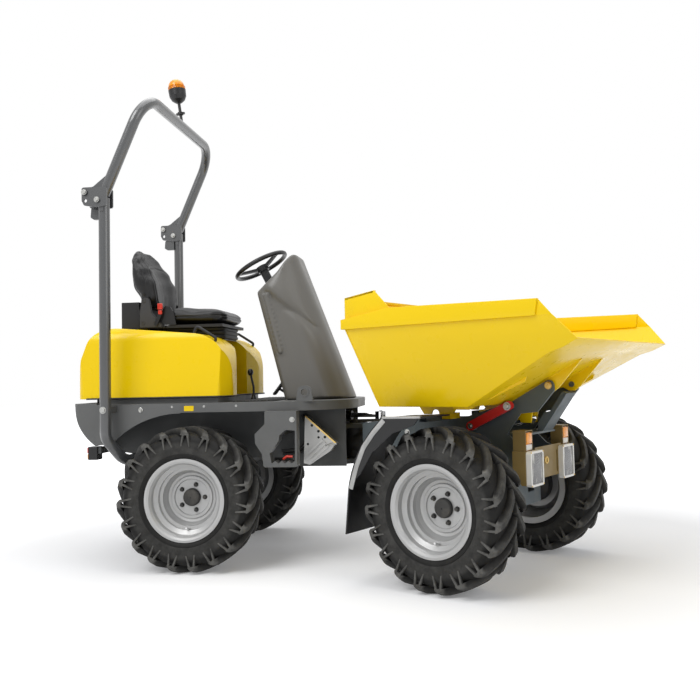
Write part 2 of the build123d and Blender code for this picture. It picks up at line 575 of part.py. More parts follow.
def valve_cover():
    """Inclined aluminium housing beside the chassis nose: a flat cover and three ribs across its lower half."""
    plate = outline([(588, 793), (757, 641), (725, 600), (611, 527), (577, 536), (582, 640)])
    cover = side(plate, -343, -CHASSIS_HALF)
    rise, run = 0.664, 0.747
    for offset in (4, 26, 48):
        x0, z0 = 586 + rise * offset, 590 - run * offset
        x1, z1 = x0 + 125 * run, z0 + 125 * rise
        rib = outline([(x0, z0), (x1, z1), (x1 + 14 * rise, z1 - 14 * run), (x0 + 14 * rise, z0 - 14 * run)])
        cover += side(rib, -352, -342)
    return cover


def rear_lamp():
    return block(-620, -568, 385, 450, 576, 648)


def seat_buckle():
    return block(-292, -262, -252, -237, 1400, 1456) + block(-284, -270, -247, -234.3, 1318, 1402)


keep("rear_chassis", rear, rear_chassis())
keep("deck", rear, deck())
keep("deck_skirts", rear, *both(deck_skirt()))
keep("counterweight", rear, counterweight())
keep("engine", rear, engine())
keep("rear_axle", rear, axle())
keep("rear_lamps", rear, *both(rear_lamp()))
keep("rops_posts", rear, *both(rops_post()))
keep("rops_hoop", rear, rops_hoop())
beacon_base, beacon_lens = beacon()
keep("beacon_base", rear, beacon_base)
keep("beacon_lens", rear, beacon_lens)
keep("hood", rear, hood())
keep("seat_frame", rear, seat_frame())
keep("seat_cushion", rear, seat_cushion())
keep("seat_back", rear, seat_back())
keep("grab_handles", rear, *both(grab_handle()))
keep("console", rear, console())
keep("steering_column", rear, steering_column())
keep("steering_wheel", rear, steering_wheel())
keep("steps", rear, *both(steps()))
keep("valve_cover", rear, valve_cover())
keep("seat_buckle", rear, seat_buckle())


# ---- centre joint and steering cylinder -----------------------------------------------------
def centre_joint():
    """Upright barrel between the ears, its trunnion forward and the arm for the steering cylinder."""
    tall = EAR_HALF_GAP - 2
    barrel = round_z(0, 0, LINK_R, PIVOT_Z - tall, PIVOT_Z + tall)
    arm_top = STEER_CYL_Z - 23
    pin = round_z(0, 0, PIVOT_PIN_R, EAR_LOW - 10, arm_top)
    collar = round_x(0, PIVOT_Z, TRUNNION_R + 18, 20, TRUNNION_START)
    trunnion = round_x(0, PIVOT_Z, TRUNNION_R, 20, BEARING_X + BEARING_T + 12)
    cap = round_x(0, PIVOT_Z, TRUNNION_R + 12, BEARING_X + BEARING_T + 2, BEARING_X + BEARING_T + 14)
    lever = rounded([(0, -40, 30), (STEER_ARM_R + 30, -24, 20), (STEER_ARM_R + 30, 24, 20), (0, 40, 30)])
    arm = Rot(0, 0, STEER_ARM_ANGLE) * flat(lever, EAR_HIGH + EAR_T + 3, arm_top)
    stud = Rot(0, 0, STEER_ARM_ANGLE) * round_z(STEER_ARM_R, 0, 10, arm_top - 2, STEER_CYL_Z + 26)
    return barrel.fuse(pin, collar, trunnion, cap, arm, stud)


keep("centre_joint", front, centre_joint())

arm_angle = radians(STEER_ARM_ANGLE - STEER_REST)
STEER_EYE_X = STEER_ARM_R * cos(arm_angle)
STEER_EYE_Y = STEER_ARM_R * sin(arm_angle)
steer_len = hypot(STEER_EYE_X - STEER_BASE_X, STEER_EYE_Y - STEER_BASE_Y)
steer_turn = degrees(atan2(STEER_EYE_Y - STEER_BASE_Y, STEER_EYE_X - STEER_BASE_X))
steer_line = origin * Pos(STEER_BASE_X, STEER_BASE_Y, STEER_CYL_Z) * Rot(0, 0, steer_turn)


def cylinder(length, barrel_end, barrel_r, rod_r, eye_r, base_hole, rod_hole, reach, stroke_in):
    """A hydraulic cylinder from its base eye at 0 along +X: its barrel, and its rod with its eye.
    At rest the rod reaches into the barrel by reach, and it can go further in by stroke_in."""
    barrel = Cylinder(eye_r, 44) + round_x(0, 0, 18, eye_r - 8, eye_r + 12)
    barrel += round_x(0, 0, barrel_r, eye_r + 10, barrel_end)
    barrel -= round_x(0, 0, rod_r + RUN, barrel_end - reach - stroke_in - 8, barrel_end + 1)
    barrel -= Cylinder(base_hole, 50)
    rod = round_x(0, 0, rod_r, barrel_end - reach, length - eye_r + 6) + Pos(length, 0, 0) * Cylinder(eye_r, 44)
    return barrel, rod - Pos(length, 0, 0) * Cylinder(rod_hole, 50)


steer_barrel, steer_rod = cylinder(steer_len, 360, 27, 14, 34, 12 + RUN, 22, 60, 114)
keep("steering_cylinder", steer_line, steer_barrel)
keep("steering_rod", steer_line, steer_rod)


# ---- front module ---------------------------------------------------------------------------
def front_chassis():
    """Bearing plate at the trunnion, two side plates over the axle, and the tower that holds the skip."""
    rail = outline([(BEARING_X, 500), (BEARING_X, 745), (420, 765), (800, 775), (880, 800), (1082, 858),
                    (SKIP_PIVOT_X - 22, SKIP_PIVOT_Z + 17), (SKIP_PIVOT_X + 26, SKIP_PIVOT_Z - 4), (1314, 915),
                    (1225, 813), (1134, 803), (1062, 705), (1130, 640), (1200, 620), (1200, 480), (1084, 470),
                    (1084, 335), (1040, 335), (1000, 470), (400, 500)])
    rails = both(side(rail, 148, 160) + round_y(SKIP_PIVOT_X, SKIP_PIVOT_Z, 26, 148, 160))
    cross = [block(BEARING_X, BEARING_X + BEARING_T, -150, 150, 500, 745),
             block(400, 412, -150, 150, 510, 750) - block(390, 420, -62, 62, 530, 730),
             block(1150, 1200, -150, 150, 486, 498)]
    tow_plate = block(1072, 1084, -150, 150, 335, 480) - block(1060, 1100, 8, 82, 398, 448)
    arm = outline([(1290, 906), (1312, 898), (1172, 700), (1150, 710)])
    web = outline([(1282, 900), (1292, 906), (1160, 712), (1150, 707), (1160, 760), (1190, 803), (1226, 811)])
    flange = side(arm, 0, 122) + side(web, 0, 10)
    flange += block(1066, 1180, -150, 150, 700, 710)
    saddles = both(block(850, 950, 146, 210, AXLE_Z + 10, 500))
    ear_x = BEARING_X + BEARING_T
    ear = rounded([(ear_x - 5, 500, 0), (TIP_BASE_X + 18, 520, 18), (TIP_BASE_X + 18, 582, 18), (ear_x + 40, 588, 12),
                   (ear_x + 25, 552, 8), (ear_x - 5, 552, 0)])
    cylinder_ears = both(side(ear, 28, 42))
    base_pin = round_y(TIP_BASE_X, TIP_BASE_Z, 14, -40, 40)
    skip_pins = both(round_y(SKIP_PIVOT_X, SKIP_PIVOT_Z, 14, 124, 166))
    fender_arms = both(block(690, 730, 156, FENDER_IN, 770, 801))
    strut_lug = block(866, 898, -STRUT_Y + 7.3, -156, 722, 762) + block(1080, 1106, -STRUT_Y + 7.3, -156, 832, 854)
    frame = rails[0].fuse(rails[1], *cross, tow_plate, flange, *saddles, *cylinder_ears, base_pin, *skip_pins,
                          *fender_arms, strut_lug)
    frame -= round_x(0, PIVOT_Z, TRUNNION_R + RUN, 100, 300)
    return frame - Pos(FRONT_BASE, 0, 0) * axle(RUN) - safety_strut(RUN)


def fender():
    """Left mudguard: flat top, curved back, side lip and rubber flap."""
    back = ThreePointArc((655, 806), (528, 672), (442, 462))
    shell = [Polyline((866, 811), (655, 806)), back, Polyline((442, 462), (418, 235), (426, 235), (450, 462)),
             ThreePointArc((450, 462), (535, 668), (658, 798)), Polyline((658, 798), (866, 803), (866, 811))]
    face = make_face([edge for piece in shell for edge in piece.edges()])
    lip = [Polyline((866, 811), (655, 806)), back, Polyline((442, 462), (488, 508), (519, 536), (596, 644), (712, 732),
                                                            (829, 771), (866, 811))]
    cheek = make_face([edge for piece in lip for edge in piece.edges()])
    return side(face, FENDER_IN, FENDER_OUT).fuse(side(cheek, FENDER_OUT - 6, FENDER_OUT))


def skip():
    """Tipping body of folded plate: sloping sides, a top rail, a raised headboard and a pouring lip."""
    t = SKIP_WALL
    k = SLOPE
    outer = outline([(548, SKIP_FLOOR_Z), (392, 1235), (394, 1406), (593, 1425), (668, 1336),
                     (RAIL_FRONT_X, RAIL_FRONT_Z), (LIP_X, LIP_Z), (1555, 1106), (1490, 1087), (1045, SKIP_FLOOR_Z)])
    inner = outline([(553, SKIP_FLOOR_Z + t), (398, 1236), (400, 1600), (1900, 1600), (1900, 1281), (1622, 1145),
                     (1553, 1112), (1488, 1093), (1043, SKIP_FLOOR_Z + t)])
    end = outline([(-SKIP_FLOOR_HALF, SKIP_FLOOR_Z), (SKIP_FLOOR_HALF, SKIP_FLOOR_Z), (SKIP_RAIL_HALF, SKIP_RAIL_Z),
                   (SKIP_RAIL_HALF, 1700), (-SKIP_RAIL_HALF, 1700), (-SKIP_RAIL_HALF, SKIP_RAIL_Z)])
    floor_in, rail_in = SKIP_FLOOR_HALF - t, SKIP_RAIL_HALF - t
    top_in = SKIP_RAIL_HALF - SKIP_RAIL_T
    end_in = outline([(-floor_in, SKIP_FLOOR_Z), (floor_in, SKIP_FLOOR_Z), (rail_in, SKIP_RAIL_Z), (top_in, SKIP_RAIL_Z + 20),
                      (top_in, 1700), (-top_in, 1700), (-top_in, SKIP_RAIL_Z + 20), (-rail_in, SKIP_RAIL_Z)])
    form = side(outer, -700, 700) & across(end, 300, 1700)
    room = side(inner, -700, 700) & across(end_in, 300, 1950)
    shell = form - room
    hinge = outline([(1150, 909), (1450, 1068), (1332, 930), (1302, 908), (1270, 908), (1240, 925)])
    hinges = both(side(hinge, 130, 142))
    eye_plate = outline([(1030, 853), (1160, 914), (1134, 752), (1080, 752)])
    eyes = both(side(eye_plate, 28, 40))
    holes = round_y(SKIP_PIVOT_X, SKIP_PIVOT_Z, 14 + RUN, -200, 200)
    return shell.fuse(*hinges, *eyes) - holes


def skip_rests():
    """Brackets under the skip's floor that rest it on the chassis, each with a half-round notch and a pad."""
    plate = rounded([(606, SKIP_FLOOR_Z - 0.3, 0), (640, 802, 10), (684, 802, 3), (690, 826, 18), (726, 826, 18),
                     (732, 802, 3), (812, 806, 10), (840, SKIP_FLOOR_Z - 0.3, 0)])
    return both(side(plate, 244, 256) + block(744, 790, 146, 250, 778, 808))


def safety_strut(room=0.0):
    """Red flat prop for the raised skip, stowed along the right side, with round ends."""
    low, high, half = (882, 742), (1098, 846), 22 + room
    lean = degrees(atan2(high[1] - low[1], high[0] - low[0]))
    flat_bar = Pos((low[0] + high[0]) / 2, (low[1] + high[1]) / 2) * Rot(0, 0, lean) * SlotOverall(
        hypot(high[0] - low[0], high[1] - low[1]) + 2 * half, 2 * half)
    return side(flat_bar, -STRUT_Y - 7 - room, -STRUT_Y + 7 + room)


def lamp_bracket():
    """Left half of the lamp bracket: a centre plate, a plate behind the headlight and the indicator's open box."""
    y0, y1 = LAMP_BOX_Y - LAMP_BOX_HALF, LAMP_BOX_Y + LAMP_BOX_HALF
    centre = block(LAMP_X - 6, LAMP_X, 0, 160, 486, 640) - block(LAMP_X - 10, LAMP_X + 10, 96, 108, 500, 610)
    back = block(LAMP_X - 6, LAMP_X, LAMP_Y - LAMP_HALF + 20, LAMP_Y + LAMP_HALF + 8, LAMP_LOW + 6, LAMP_HIGH)
    open_box = block(LAMP_X - 66, LAMP_X, y0, y1, LAMP_HIGH - 8, LAMP_HIGH + 98)
    open_box -= block(LAMP_X - 60, LAMP_X + 1, y0 + 4, y1 - 4, LAMP_HIGH - 2, LAMP_HIGH + 94)
    cheek = outline([(LAMP_X - 66, LAMP_HIGH), (LAMP_X, LAMP_HIGH), (LAMP_X, LAMP_LOW + 10), (LAMP_X - 20, LAMP_LOW + 6),
                     (LAMP_X - 66, LAMP_LOW + 70)])
    return centre.fuse(back, open_box, side(cheek, LAMP_Y + LAMP_HALF + 2, LAMP_Y + LAMP_HALF + 8))


def headlight():
    """Left headlight: a frame with rounded corners round a set-back glass."""
    form = Pos(LAMP_Y, (LAMP_LOW + LAMP_HIGH) / 2) * RectangleRounded(2 * LAMP_HALF, LAMP_HIGH - LAMP_LOW, 16)
    glass = Pos(LAMP_Y, (LAMP_LOW + LAMP_HIGH) / 2) * RectangleRounded(2 * LAMP_HALF - 22, LAMP_HIGH - LAMP_LOW - 22, 9)
    return across(form, LAMP_X + 0.3, LAMP_X + 26) - across(glass, LAMP_X + 20, LAMP_X + 30)


def indicator():
    low = LAMP_HIGH + 2
    y0, y1 = LAMP_BOX_Y - LAMP_BOX_HALF + 14, LAMP_BOX_Y + LAMP_BOX_HALF - 14
    return block(LAMP_X - 59.7, LAMP_X - 4, y0, y1, low, low + 86)


keep("front_chassis", front, front_chassis())
keep("front_axle", front * Pos(FRONT_BASE, 0, 0), axle())
keep("fenders", front, *both(fender()))
keep("skip", front, skip())
keep("skip_rests", front, *skip_rests())
keep("safety_strut", front, safety_strut())
half_bracket = lamp_bracket()
keep("lamp_brackets", front, half_bracket.fuse(mirror(half_bracket, about=Plane.XZ)))
keep("headlights", front, *both(headlight()))
keep("indicators", front, *both(indicator()))

tip_len = hypot(TIP_EYE_X - TIP_BASE_X, TIP_EYE_Z - TIP_BASE_Z)
tip_turn = degrees(atan2(TIP_EYE_Z - TIP_BASE_Z, TIP_EYE_X - TIP_BASE_X))
tip_line = front * Pos(TIP_BASE_X, 0, TIP_BASE_Z) * Rot(0, -tip_turn, 0) * Rot(90, 0, 0)
tip_barrel, tip_rod = cylinder(tip_len, 640, 36, 22, 30, 14 + RUN, 16, 150, 0)
keep("tip_cylinder", tip_line, tip_barrel)
keep("tip_rod", tip_line, tip_rod)

for name, shape in nodes.items():
    export_step(shape, "parts/" + name + ".step")
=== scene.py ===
"""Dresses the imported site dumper: paint, rubber and plastic finishes, tyres, seat, hoses, lamps and fittings."""

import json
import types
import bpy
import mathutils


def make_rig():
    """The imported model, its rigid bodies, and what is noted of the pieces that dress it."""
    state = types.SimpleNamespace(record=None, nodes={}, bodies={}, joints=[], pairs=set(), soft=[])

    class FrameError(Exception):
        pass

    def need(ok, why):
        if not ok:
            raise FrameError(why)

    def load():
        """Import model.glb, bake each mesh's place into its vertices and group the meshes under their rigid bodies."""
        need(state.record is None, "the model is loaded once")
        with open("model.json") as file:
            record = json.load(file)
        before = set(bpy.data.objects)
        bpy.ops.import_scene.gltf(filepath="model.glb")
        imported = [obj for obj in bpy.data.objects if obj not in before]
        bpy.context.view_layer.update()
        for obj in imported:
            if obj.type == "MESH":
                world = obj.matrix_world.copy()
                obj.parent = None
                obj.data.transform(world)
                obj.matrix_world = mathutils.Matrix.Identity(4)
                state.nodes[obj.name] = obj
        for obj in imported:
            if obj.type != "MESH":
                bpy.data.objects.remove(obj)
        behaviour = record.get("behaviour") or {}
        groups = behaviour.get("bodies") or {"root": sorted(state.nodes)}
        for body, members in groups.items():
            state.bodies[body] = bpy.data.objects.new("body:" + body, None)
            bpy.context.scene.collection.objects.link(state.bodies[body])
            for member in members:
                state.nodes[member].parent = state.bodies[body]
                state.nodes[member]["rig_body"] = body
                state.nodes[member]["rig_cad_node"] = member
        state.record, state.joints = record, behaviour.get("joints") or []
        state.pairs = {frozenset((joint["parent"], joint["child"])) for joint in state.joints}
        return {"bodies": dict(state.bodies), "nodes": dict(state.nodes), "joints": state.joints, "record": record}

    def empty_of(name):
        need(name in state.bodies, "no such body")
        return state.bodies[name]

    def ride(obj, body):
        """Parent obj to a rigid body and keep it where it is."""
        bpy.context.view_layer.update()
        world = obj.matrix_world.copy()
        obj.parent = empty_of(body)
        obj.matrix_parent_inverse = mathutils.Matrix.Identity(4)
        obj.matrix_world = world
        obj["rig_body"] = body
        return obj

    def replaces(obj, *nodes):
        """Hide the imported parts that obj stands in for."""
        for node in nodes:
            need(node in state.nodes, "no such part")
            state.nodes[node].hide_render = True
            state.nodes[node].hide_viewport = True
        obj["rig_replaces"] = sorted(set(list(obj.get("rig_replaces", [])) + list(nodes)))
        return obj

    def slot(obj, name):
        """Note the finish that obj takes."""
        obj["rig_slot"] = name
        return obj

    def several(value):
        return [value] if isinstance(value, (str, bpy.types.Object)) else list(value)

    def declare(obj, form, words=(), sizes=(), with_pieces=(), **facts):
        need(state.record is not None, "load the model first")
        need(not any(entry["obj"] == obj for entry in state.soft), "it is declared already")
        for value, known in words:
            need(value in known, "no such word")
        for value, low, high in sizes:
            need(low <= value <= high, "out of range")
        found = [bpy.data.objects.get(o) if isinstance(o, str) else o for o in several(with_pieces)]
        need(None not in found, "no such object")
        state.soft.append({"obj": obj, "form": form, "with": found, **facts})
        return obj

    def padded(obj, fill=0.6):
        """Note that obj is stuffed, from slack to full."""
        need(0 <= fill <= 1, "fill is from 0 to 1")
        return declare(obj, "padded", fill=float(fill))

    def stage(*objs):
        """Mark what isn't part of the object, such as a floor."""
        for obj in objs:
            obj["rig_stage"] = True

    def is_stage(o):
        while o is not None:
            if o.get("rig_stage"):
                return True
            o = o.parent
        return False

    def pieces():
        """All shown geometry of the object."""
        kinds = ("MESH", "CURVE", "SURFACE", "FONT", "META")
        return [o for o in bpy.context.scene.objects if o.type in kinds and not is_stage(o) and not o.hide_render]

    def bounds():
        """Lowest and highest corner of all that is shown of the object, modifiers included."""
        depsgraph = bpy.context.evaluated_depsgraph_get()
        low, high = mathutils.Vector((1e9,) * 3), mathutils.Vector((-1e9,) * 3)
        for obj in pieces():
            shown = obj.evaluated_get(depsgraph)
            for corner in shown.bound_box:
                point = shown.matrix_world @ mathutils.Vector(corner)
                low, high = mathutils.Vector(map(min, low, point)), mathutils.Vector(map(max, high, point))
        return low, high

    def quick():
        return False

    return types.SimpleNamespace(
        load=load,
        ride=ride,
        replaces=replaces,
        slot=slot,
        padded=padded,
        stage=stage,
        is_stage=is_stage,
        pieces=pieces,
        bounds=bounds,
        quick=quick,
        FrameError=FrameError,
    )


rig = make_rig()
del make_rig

bl_info = {
    "name": "Site dumper",
    "version": (1, 0, 0),
    "blender": (4, 5, 0),
    "location": "3D View > Sidebar > Dumper",
    "description": "Builds the finishes and the fine pieces of an articulated site dumper around its packed frame",
    "category": "Object",
}

import json
import math
import sys

import bmesh
import bpy
from bpy.props import FloatProperty, FloatVectorProperty, IntProperty, PointerProperty
from mathutils import Matrix, Vector

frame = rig.load()
CAD_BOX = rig.bounds()

MM = 0.001
TAU = 2 * math.pi
JOINTS = {joint["name"]: joint for joint in frame["joints"]}
WHEELS = ("rear_left", "rear_right", "front_left", "front_right")


# ---- places -------------------------------------------------------------------------------------
def module(at, left):
    """Matrix from millimetres in a module, X forward and Y left, to metres in the frame."""
    forward = Vector((left.y, -left.x, 0.0))
    turn = Matrix((forward, left, Vector((0, 0, 1)))).transposed().to_4x4()
    return Matrix.Translation((at.x, at.y, 0.0)) @ turn @ Matrix.Scale(MM, 4)


def joint_point(name):
    return Vector(JOINTS[name]["pos_m"])


def joint_axis(name):
    return Vector(JOINTS[name]["axis"]).normalized()


REAR = module((joint_point("wheel_rear_left_spin") + joint_point("wheel_rear_right_spin")) / 2, Vector((0, 1, 0)))
FRONT = module(joint_point("steering_pivot"), joint_axis("skip_tip"))


def hub(wheel):
    """Matrix from millimetres round a wheel's centre, with Y outwards on the left side, to metres."""
    base = FRONT if wheel.startswith("front") else REAR
    turn = base.to_3x3().normalized().to_4x4()
    return Matrix.Translation(joint_point("wheel_" + wheel + "_spin")) @ turn @ Matrix.Scale(MM, 4)


# ---- sizes and colours that a user may change ---------------------------------------------------
def colour(name, text, value):
    return FloatVectorProperty(name=name, description=text, default=(*value, 1.0), size=4, subtype="COLOR",
                               min=0.0, max=1.0)


def length(name, text, value):
    return FloatProperty(name=name, description=text, default=value, unit="LENGTH", min=0.0)


class DumperPaints(bpy.types.PropertyGroup):
    yellow: colour("Yellow", "Gloss paint of the skip and the hood", (0.92, 0.63, 0.002))
    chassis_grey: colour("Chassis grey", "Satin paint of the rear chassis and the roll bar", (0.075, 0.078, 0.078))
    deck_grey: colour("Deck grey", "Satin paint of the deck and the rear weight", (0.13, 0.132, 0.13))
    tower_grey: colour("Tower grey", "Blue-grey satin paint of the front chassis", (0.095, 0.115, 0.125))
    olive: colour("Lamp bracket", "Olive paint of the lamp brackets", (0.22, 0.155, 0.055))
    console_grey: colour("Console", "Moulded plastic of the leg shield", (0.125, 0.12, 0.108))
    silver: colour("Wheel silver", "Silver paint of the rims", (0.44, 0.44, 0.435))


class TyreSizes(bpy.types.PropertyGroup):
    lug_count: IntProperty(name="Lugs", description="Lugs in each row", default=19, min=6, max=40)


class StageSettings(bpy.types.PropertyGroup):
    floor_size: length("Floor size", "Side of the pale floor", 60.0)
    sun_strength: FloatProperty(name="Key light", description="Strength of the key light", default=1.0, min=0.0)


# ---- mesh helpers -------------------------------------------------------------------------------
def object_from(bm, name, place, body, slot, *materials, angle=32.0):
    """Makes a piece of a mesh drawn in place's millimetres, shades it and lets it ride on its body."""
    bm.transform(place)
    if place.determinant() < 0:
        bmesh.ops.reverse_faces(bm, faces=bm.faces)
    mesh = bpy.data.meshes.new(name)
    bm.to_mesh(mesh)
    bm.free()
    for material in materials:
        mesh.materials.append(material)
    mesh.shade_smooth()
    mesh.set_sharp_from_angle(angle=math.radians(angle))
    piece = bpy.data.objects.new(name, mesh)
    bpy.context.scene.collection.objects.link(piece)
    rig.slot(piece, slot)
    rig.ride(piece, body)
    return piece


def ring(bm, points):
    return [bm.verts.new(p) for p in points]


def bridge(bm, a, b, closed=True, material=0):
    """Quads between two rows of vertices."""
    count = len(a) if closed else len(a) - 1
    for i in range(count):
        j = (i + 1) % len(a)
        face = bm.faces.new((a[i], a[j], b[j], b[i]))
        face.material_index = material


def lathe(bm, profile, segments=96, closed=False, material=0, place=Matrix.Identity(4)):
    """Spins (radius, y) points about the Y axis, with the outside on the left of the profile's run."""
    rows = []
    for radius, y in profile:
        if radius < 1e-6:
            rows.append([bm.verts.new(place @ Vector((0, y, 0)))])
            continue
        rows.append(ring(bm, [place @ Vector((radius * math.sin(TAU * k / segments), y,
                                              radius * math.cos(TAU * k / segments)))
                              for k in range(segments)]))
    pairs = list(zip(rows, rows[1:])) + ([(rows[-1], rows[0])] if closed else [])
    for a, b in pairs:
        if len(a) == 1 and len(b) == 1:
            continue
        if len(a) == 1 or len(b) == 1:
            tip, rim = (a[0], b) if len(a) == 1 else (b[0], a)
            for i in range(segments):
                j = (i + 1) % segments
                corners = (tip, rim[i], rim[j]) if len(b) == 1 else (tip, rim[j], rim[i])
                bm.faces.new(corners).material_index = material
            continue
        bridge(bm, b, a, material=material)
    return rows


def plate(bm, outline, t0, t1, axis="y", material=0):
    """A flat plate: the outline in the two other axes, from t0 to t1 along axis."""
    spot = {"y": lambda u, v, t: (u, t, v), "x": lambda u, v, t: (t, u, v), "z": lambda u, v, t: (u, v, t)}[axis]
    low = ring(bm, [spot(u, v, t0) for u, v in outline])
    high = ring(bm, [spot(u, v, t1) for u, v in outline])
    faces = [bm.faces.new(low), bm.faces.new(high)]
    for i in range(len(low)):
        j = (i + 1) % len(low)
        faces.append(bm.faces.new((low[i], low[j], high[j], high[i])))
    for face in faces:
        face.material_index = material
    bmesh.ops.recalc_face_normals(bm, faces=faces)
    return faces


def box(bm, x0, x1, y0, y1, z0, z1, material=0):
    return plate(bm, [(x0, z0), (x1, z0), (x1, z1), (x0, z1)], y0, y1, "y", material)


def corner_arcs(points, steps=5):
    """An outline of (u, v, radius) corners with each corner turned into an arc."""
    out = []
    for i, (u, v, radius) in enumerate(points):
        here = Vector((u, v))
        back = Vector(points[i - 1][:2]) - here
        ahead = Vector(points[(i + 1) % len(points)][:2]) - here
        if not radius:
            out.append((u, v))
            continue
        half = back.angle(ahead) / 2
        reach = radius / math.tan(half)
        start, end = here + back.normalized() * reach, here + ahead.normalized() * reach
        centre = here + (back.normalized() + ahead.normalized()).normalized() * (radius / math.sin(half))
        a, b = start - centre, end - centre
        turn = b.angle_signed(a)
        for k in range(steps + 1):
            c, s = math.cos(turn * k / steps), math.sin(turn * k / steps)
            out.append((centre.x + a.x * c - a.y * s, centre.y + a.x * s + a.y * c))
    return out


def smooth_path(points, radius, steps=6):
    """A bent line through 3-D points, its corners rounded by arcs of about that radius."""
    out = [Vector(points[0])]
    for a, b, c in zip(points, points[1:], points[2:]):
        a, b, c = Vector(a), Vector(b), Vector(c)
        reach = min(radius * math.tan((math.pi - (a - b).angle(c - b)) / 2), 0.48 * (a - b).length,
                    0.48 * (c - b).length)
        start, end = b + (a - b).normalized() * reach, b + (c - b).normalized() * reach
        for k in range(steps + 1):
            t = k / steps
            out.append(start * (1 - t) ** 2 + b * 2 * t * (1 - t) + end * t ** 2)
    out.append(Vector(points[-1]))
    return out


def tube(bm, path, radius, sides=12, material=0, capped=True, radii=None):
    """A round tube along a path, framed by carrying one side vector along it."""
    path = [Vector(p) for p in path]
    tangent = (path[1] - path[0]).normalized()
    side = tangent.orthogonal().normalized()
    rows = []
    for i, point in enumerate(path):
        ahead = path[min(i + 1, len(path) - 1)] - path[max(i - 1, 0)]
        turned = ahead.normalized()
        side = (side - turned * side.dot(turned)).normalized()
        up = turned.cross(side)
        r = radii[i] if radii else radius
        rows.append(ring(bm, [point + (side * math.cos(TAU * k / sides) + up * math.sin(TAU * k / sides)) * r
                              for k in range(sides)]))
    for a, b in zip(rows, rows[1:]):
        bridge(bm, a, b, material=material)
    if capped:
        bm.faces.new(reversed(rows[0])).material_index = material
        bm.faces.new(rows[-1]).material_index = material
    return rows


def bolt_head(bm, at, normal, radius=9.0, height=6.0, material=0):
    """Hexagon head on a washer, standing on a surface."""
    turn = Vector(normal).to_track_quat("Y", "Z").to_matrix().to_4x4()
    place = Matrix.Translation(Vector(at)) @ turn
    lathe(bm, [(0, 1.8), (radius * 1.45, 1.8), (radius * 1.45, 0)], 20, material=material, place=place)
    for low, high, r0, r1 in ((1.5, height, radius, radius), (height, height + 1.2, radius, radius * 0.86)):
        rows = [ring(bm, [place @ Vector((r * math.sin(TAU * k / 6), y, r * math.cos(TAU * k / 6))) for k in range(6)])
                for r, y in ((r0, low), (r1, high))]
        bridge(bm, rows[1], rows[0], material=material)
        top = rows[1]
    bm.faces.new(reversed(top)).material_index = material


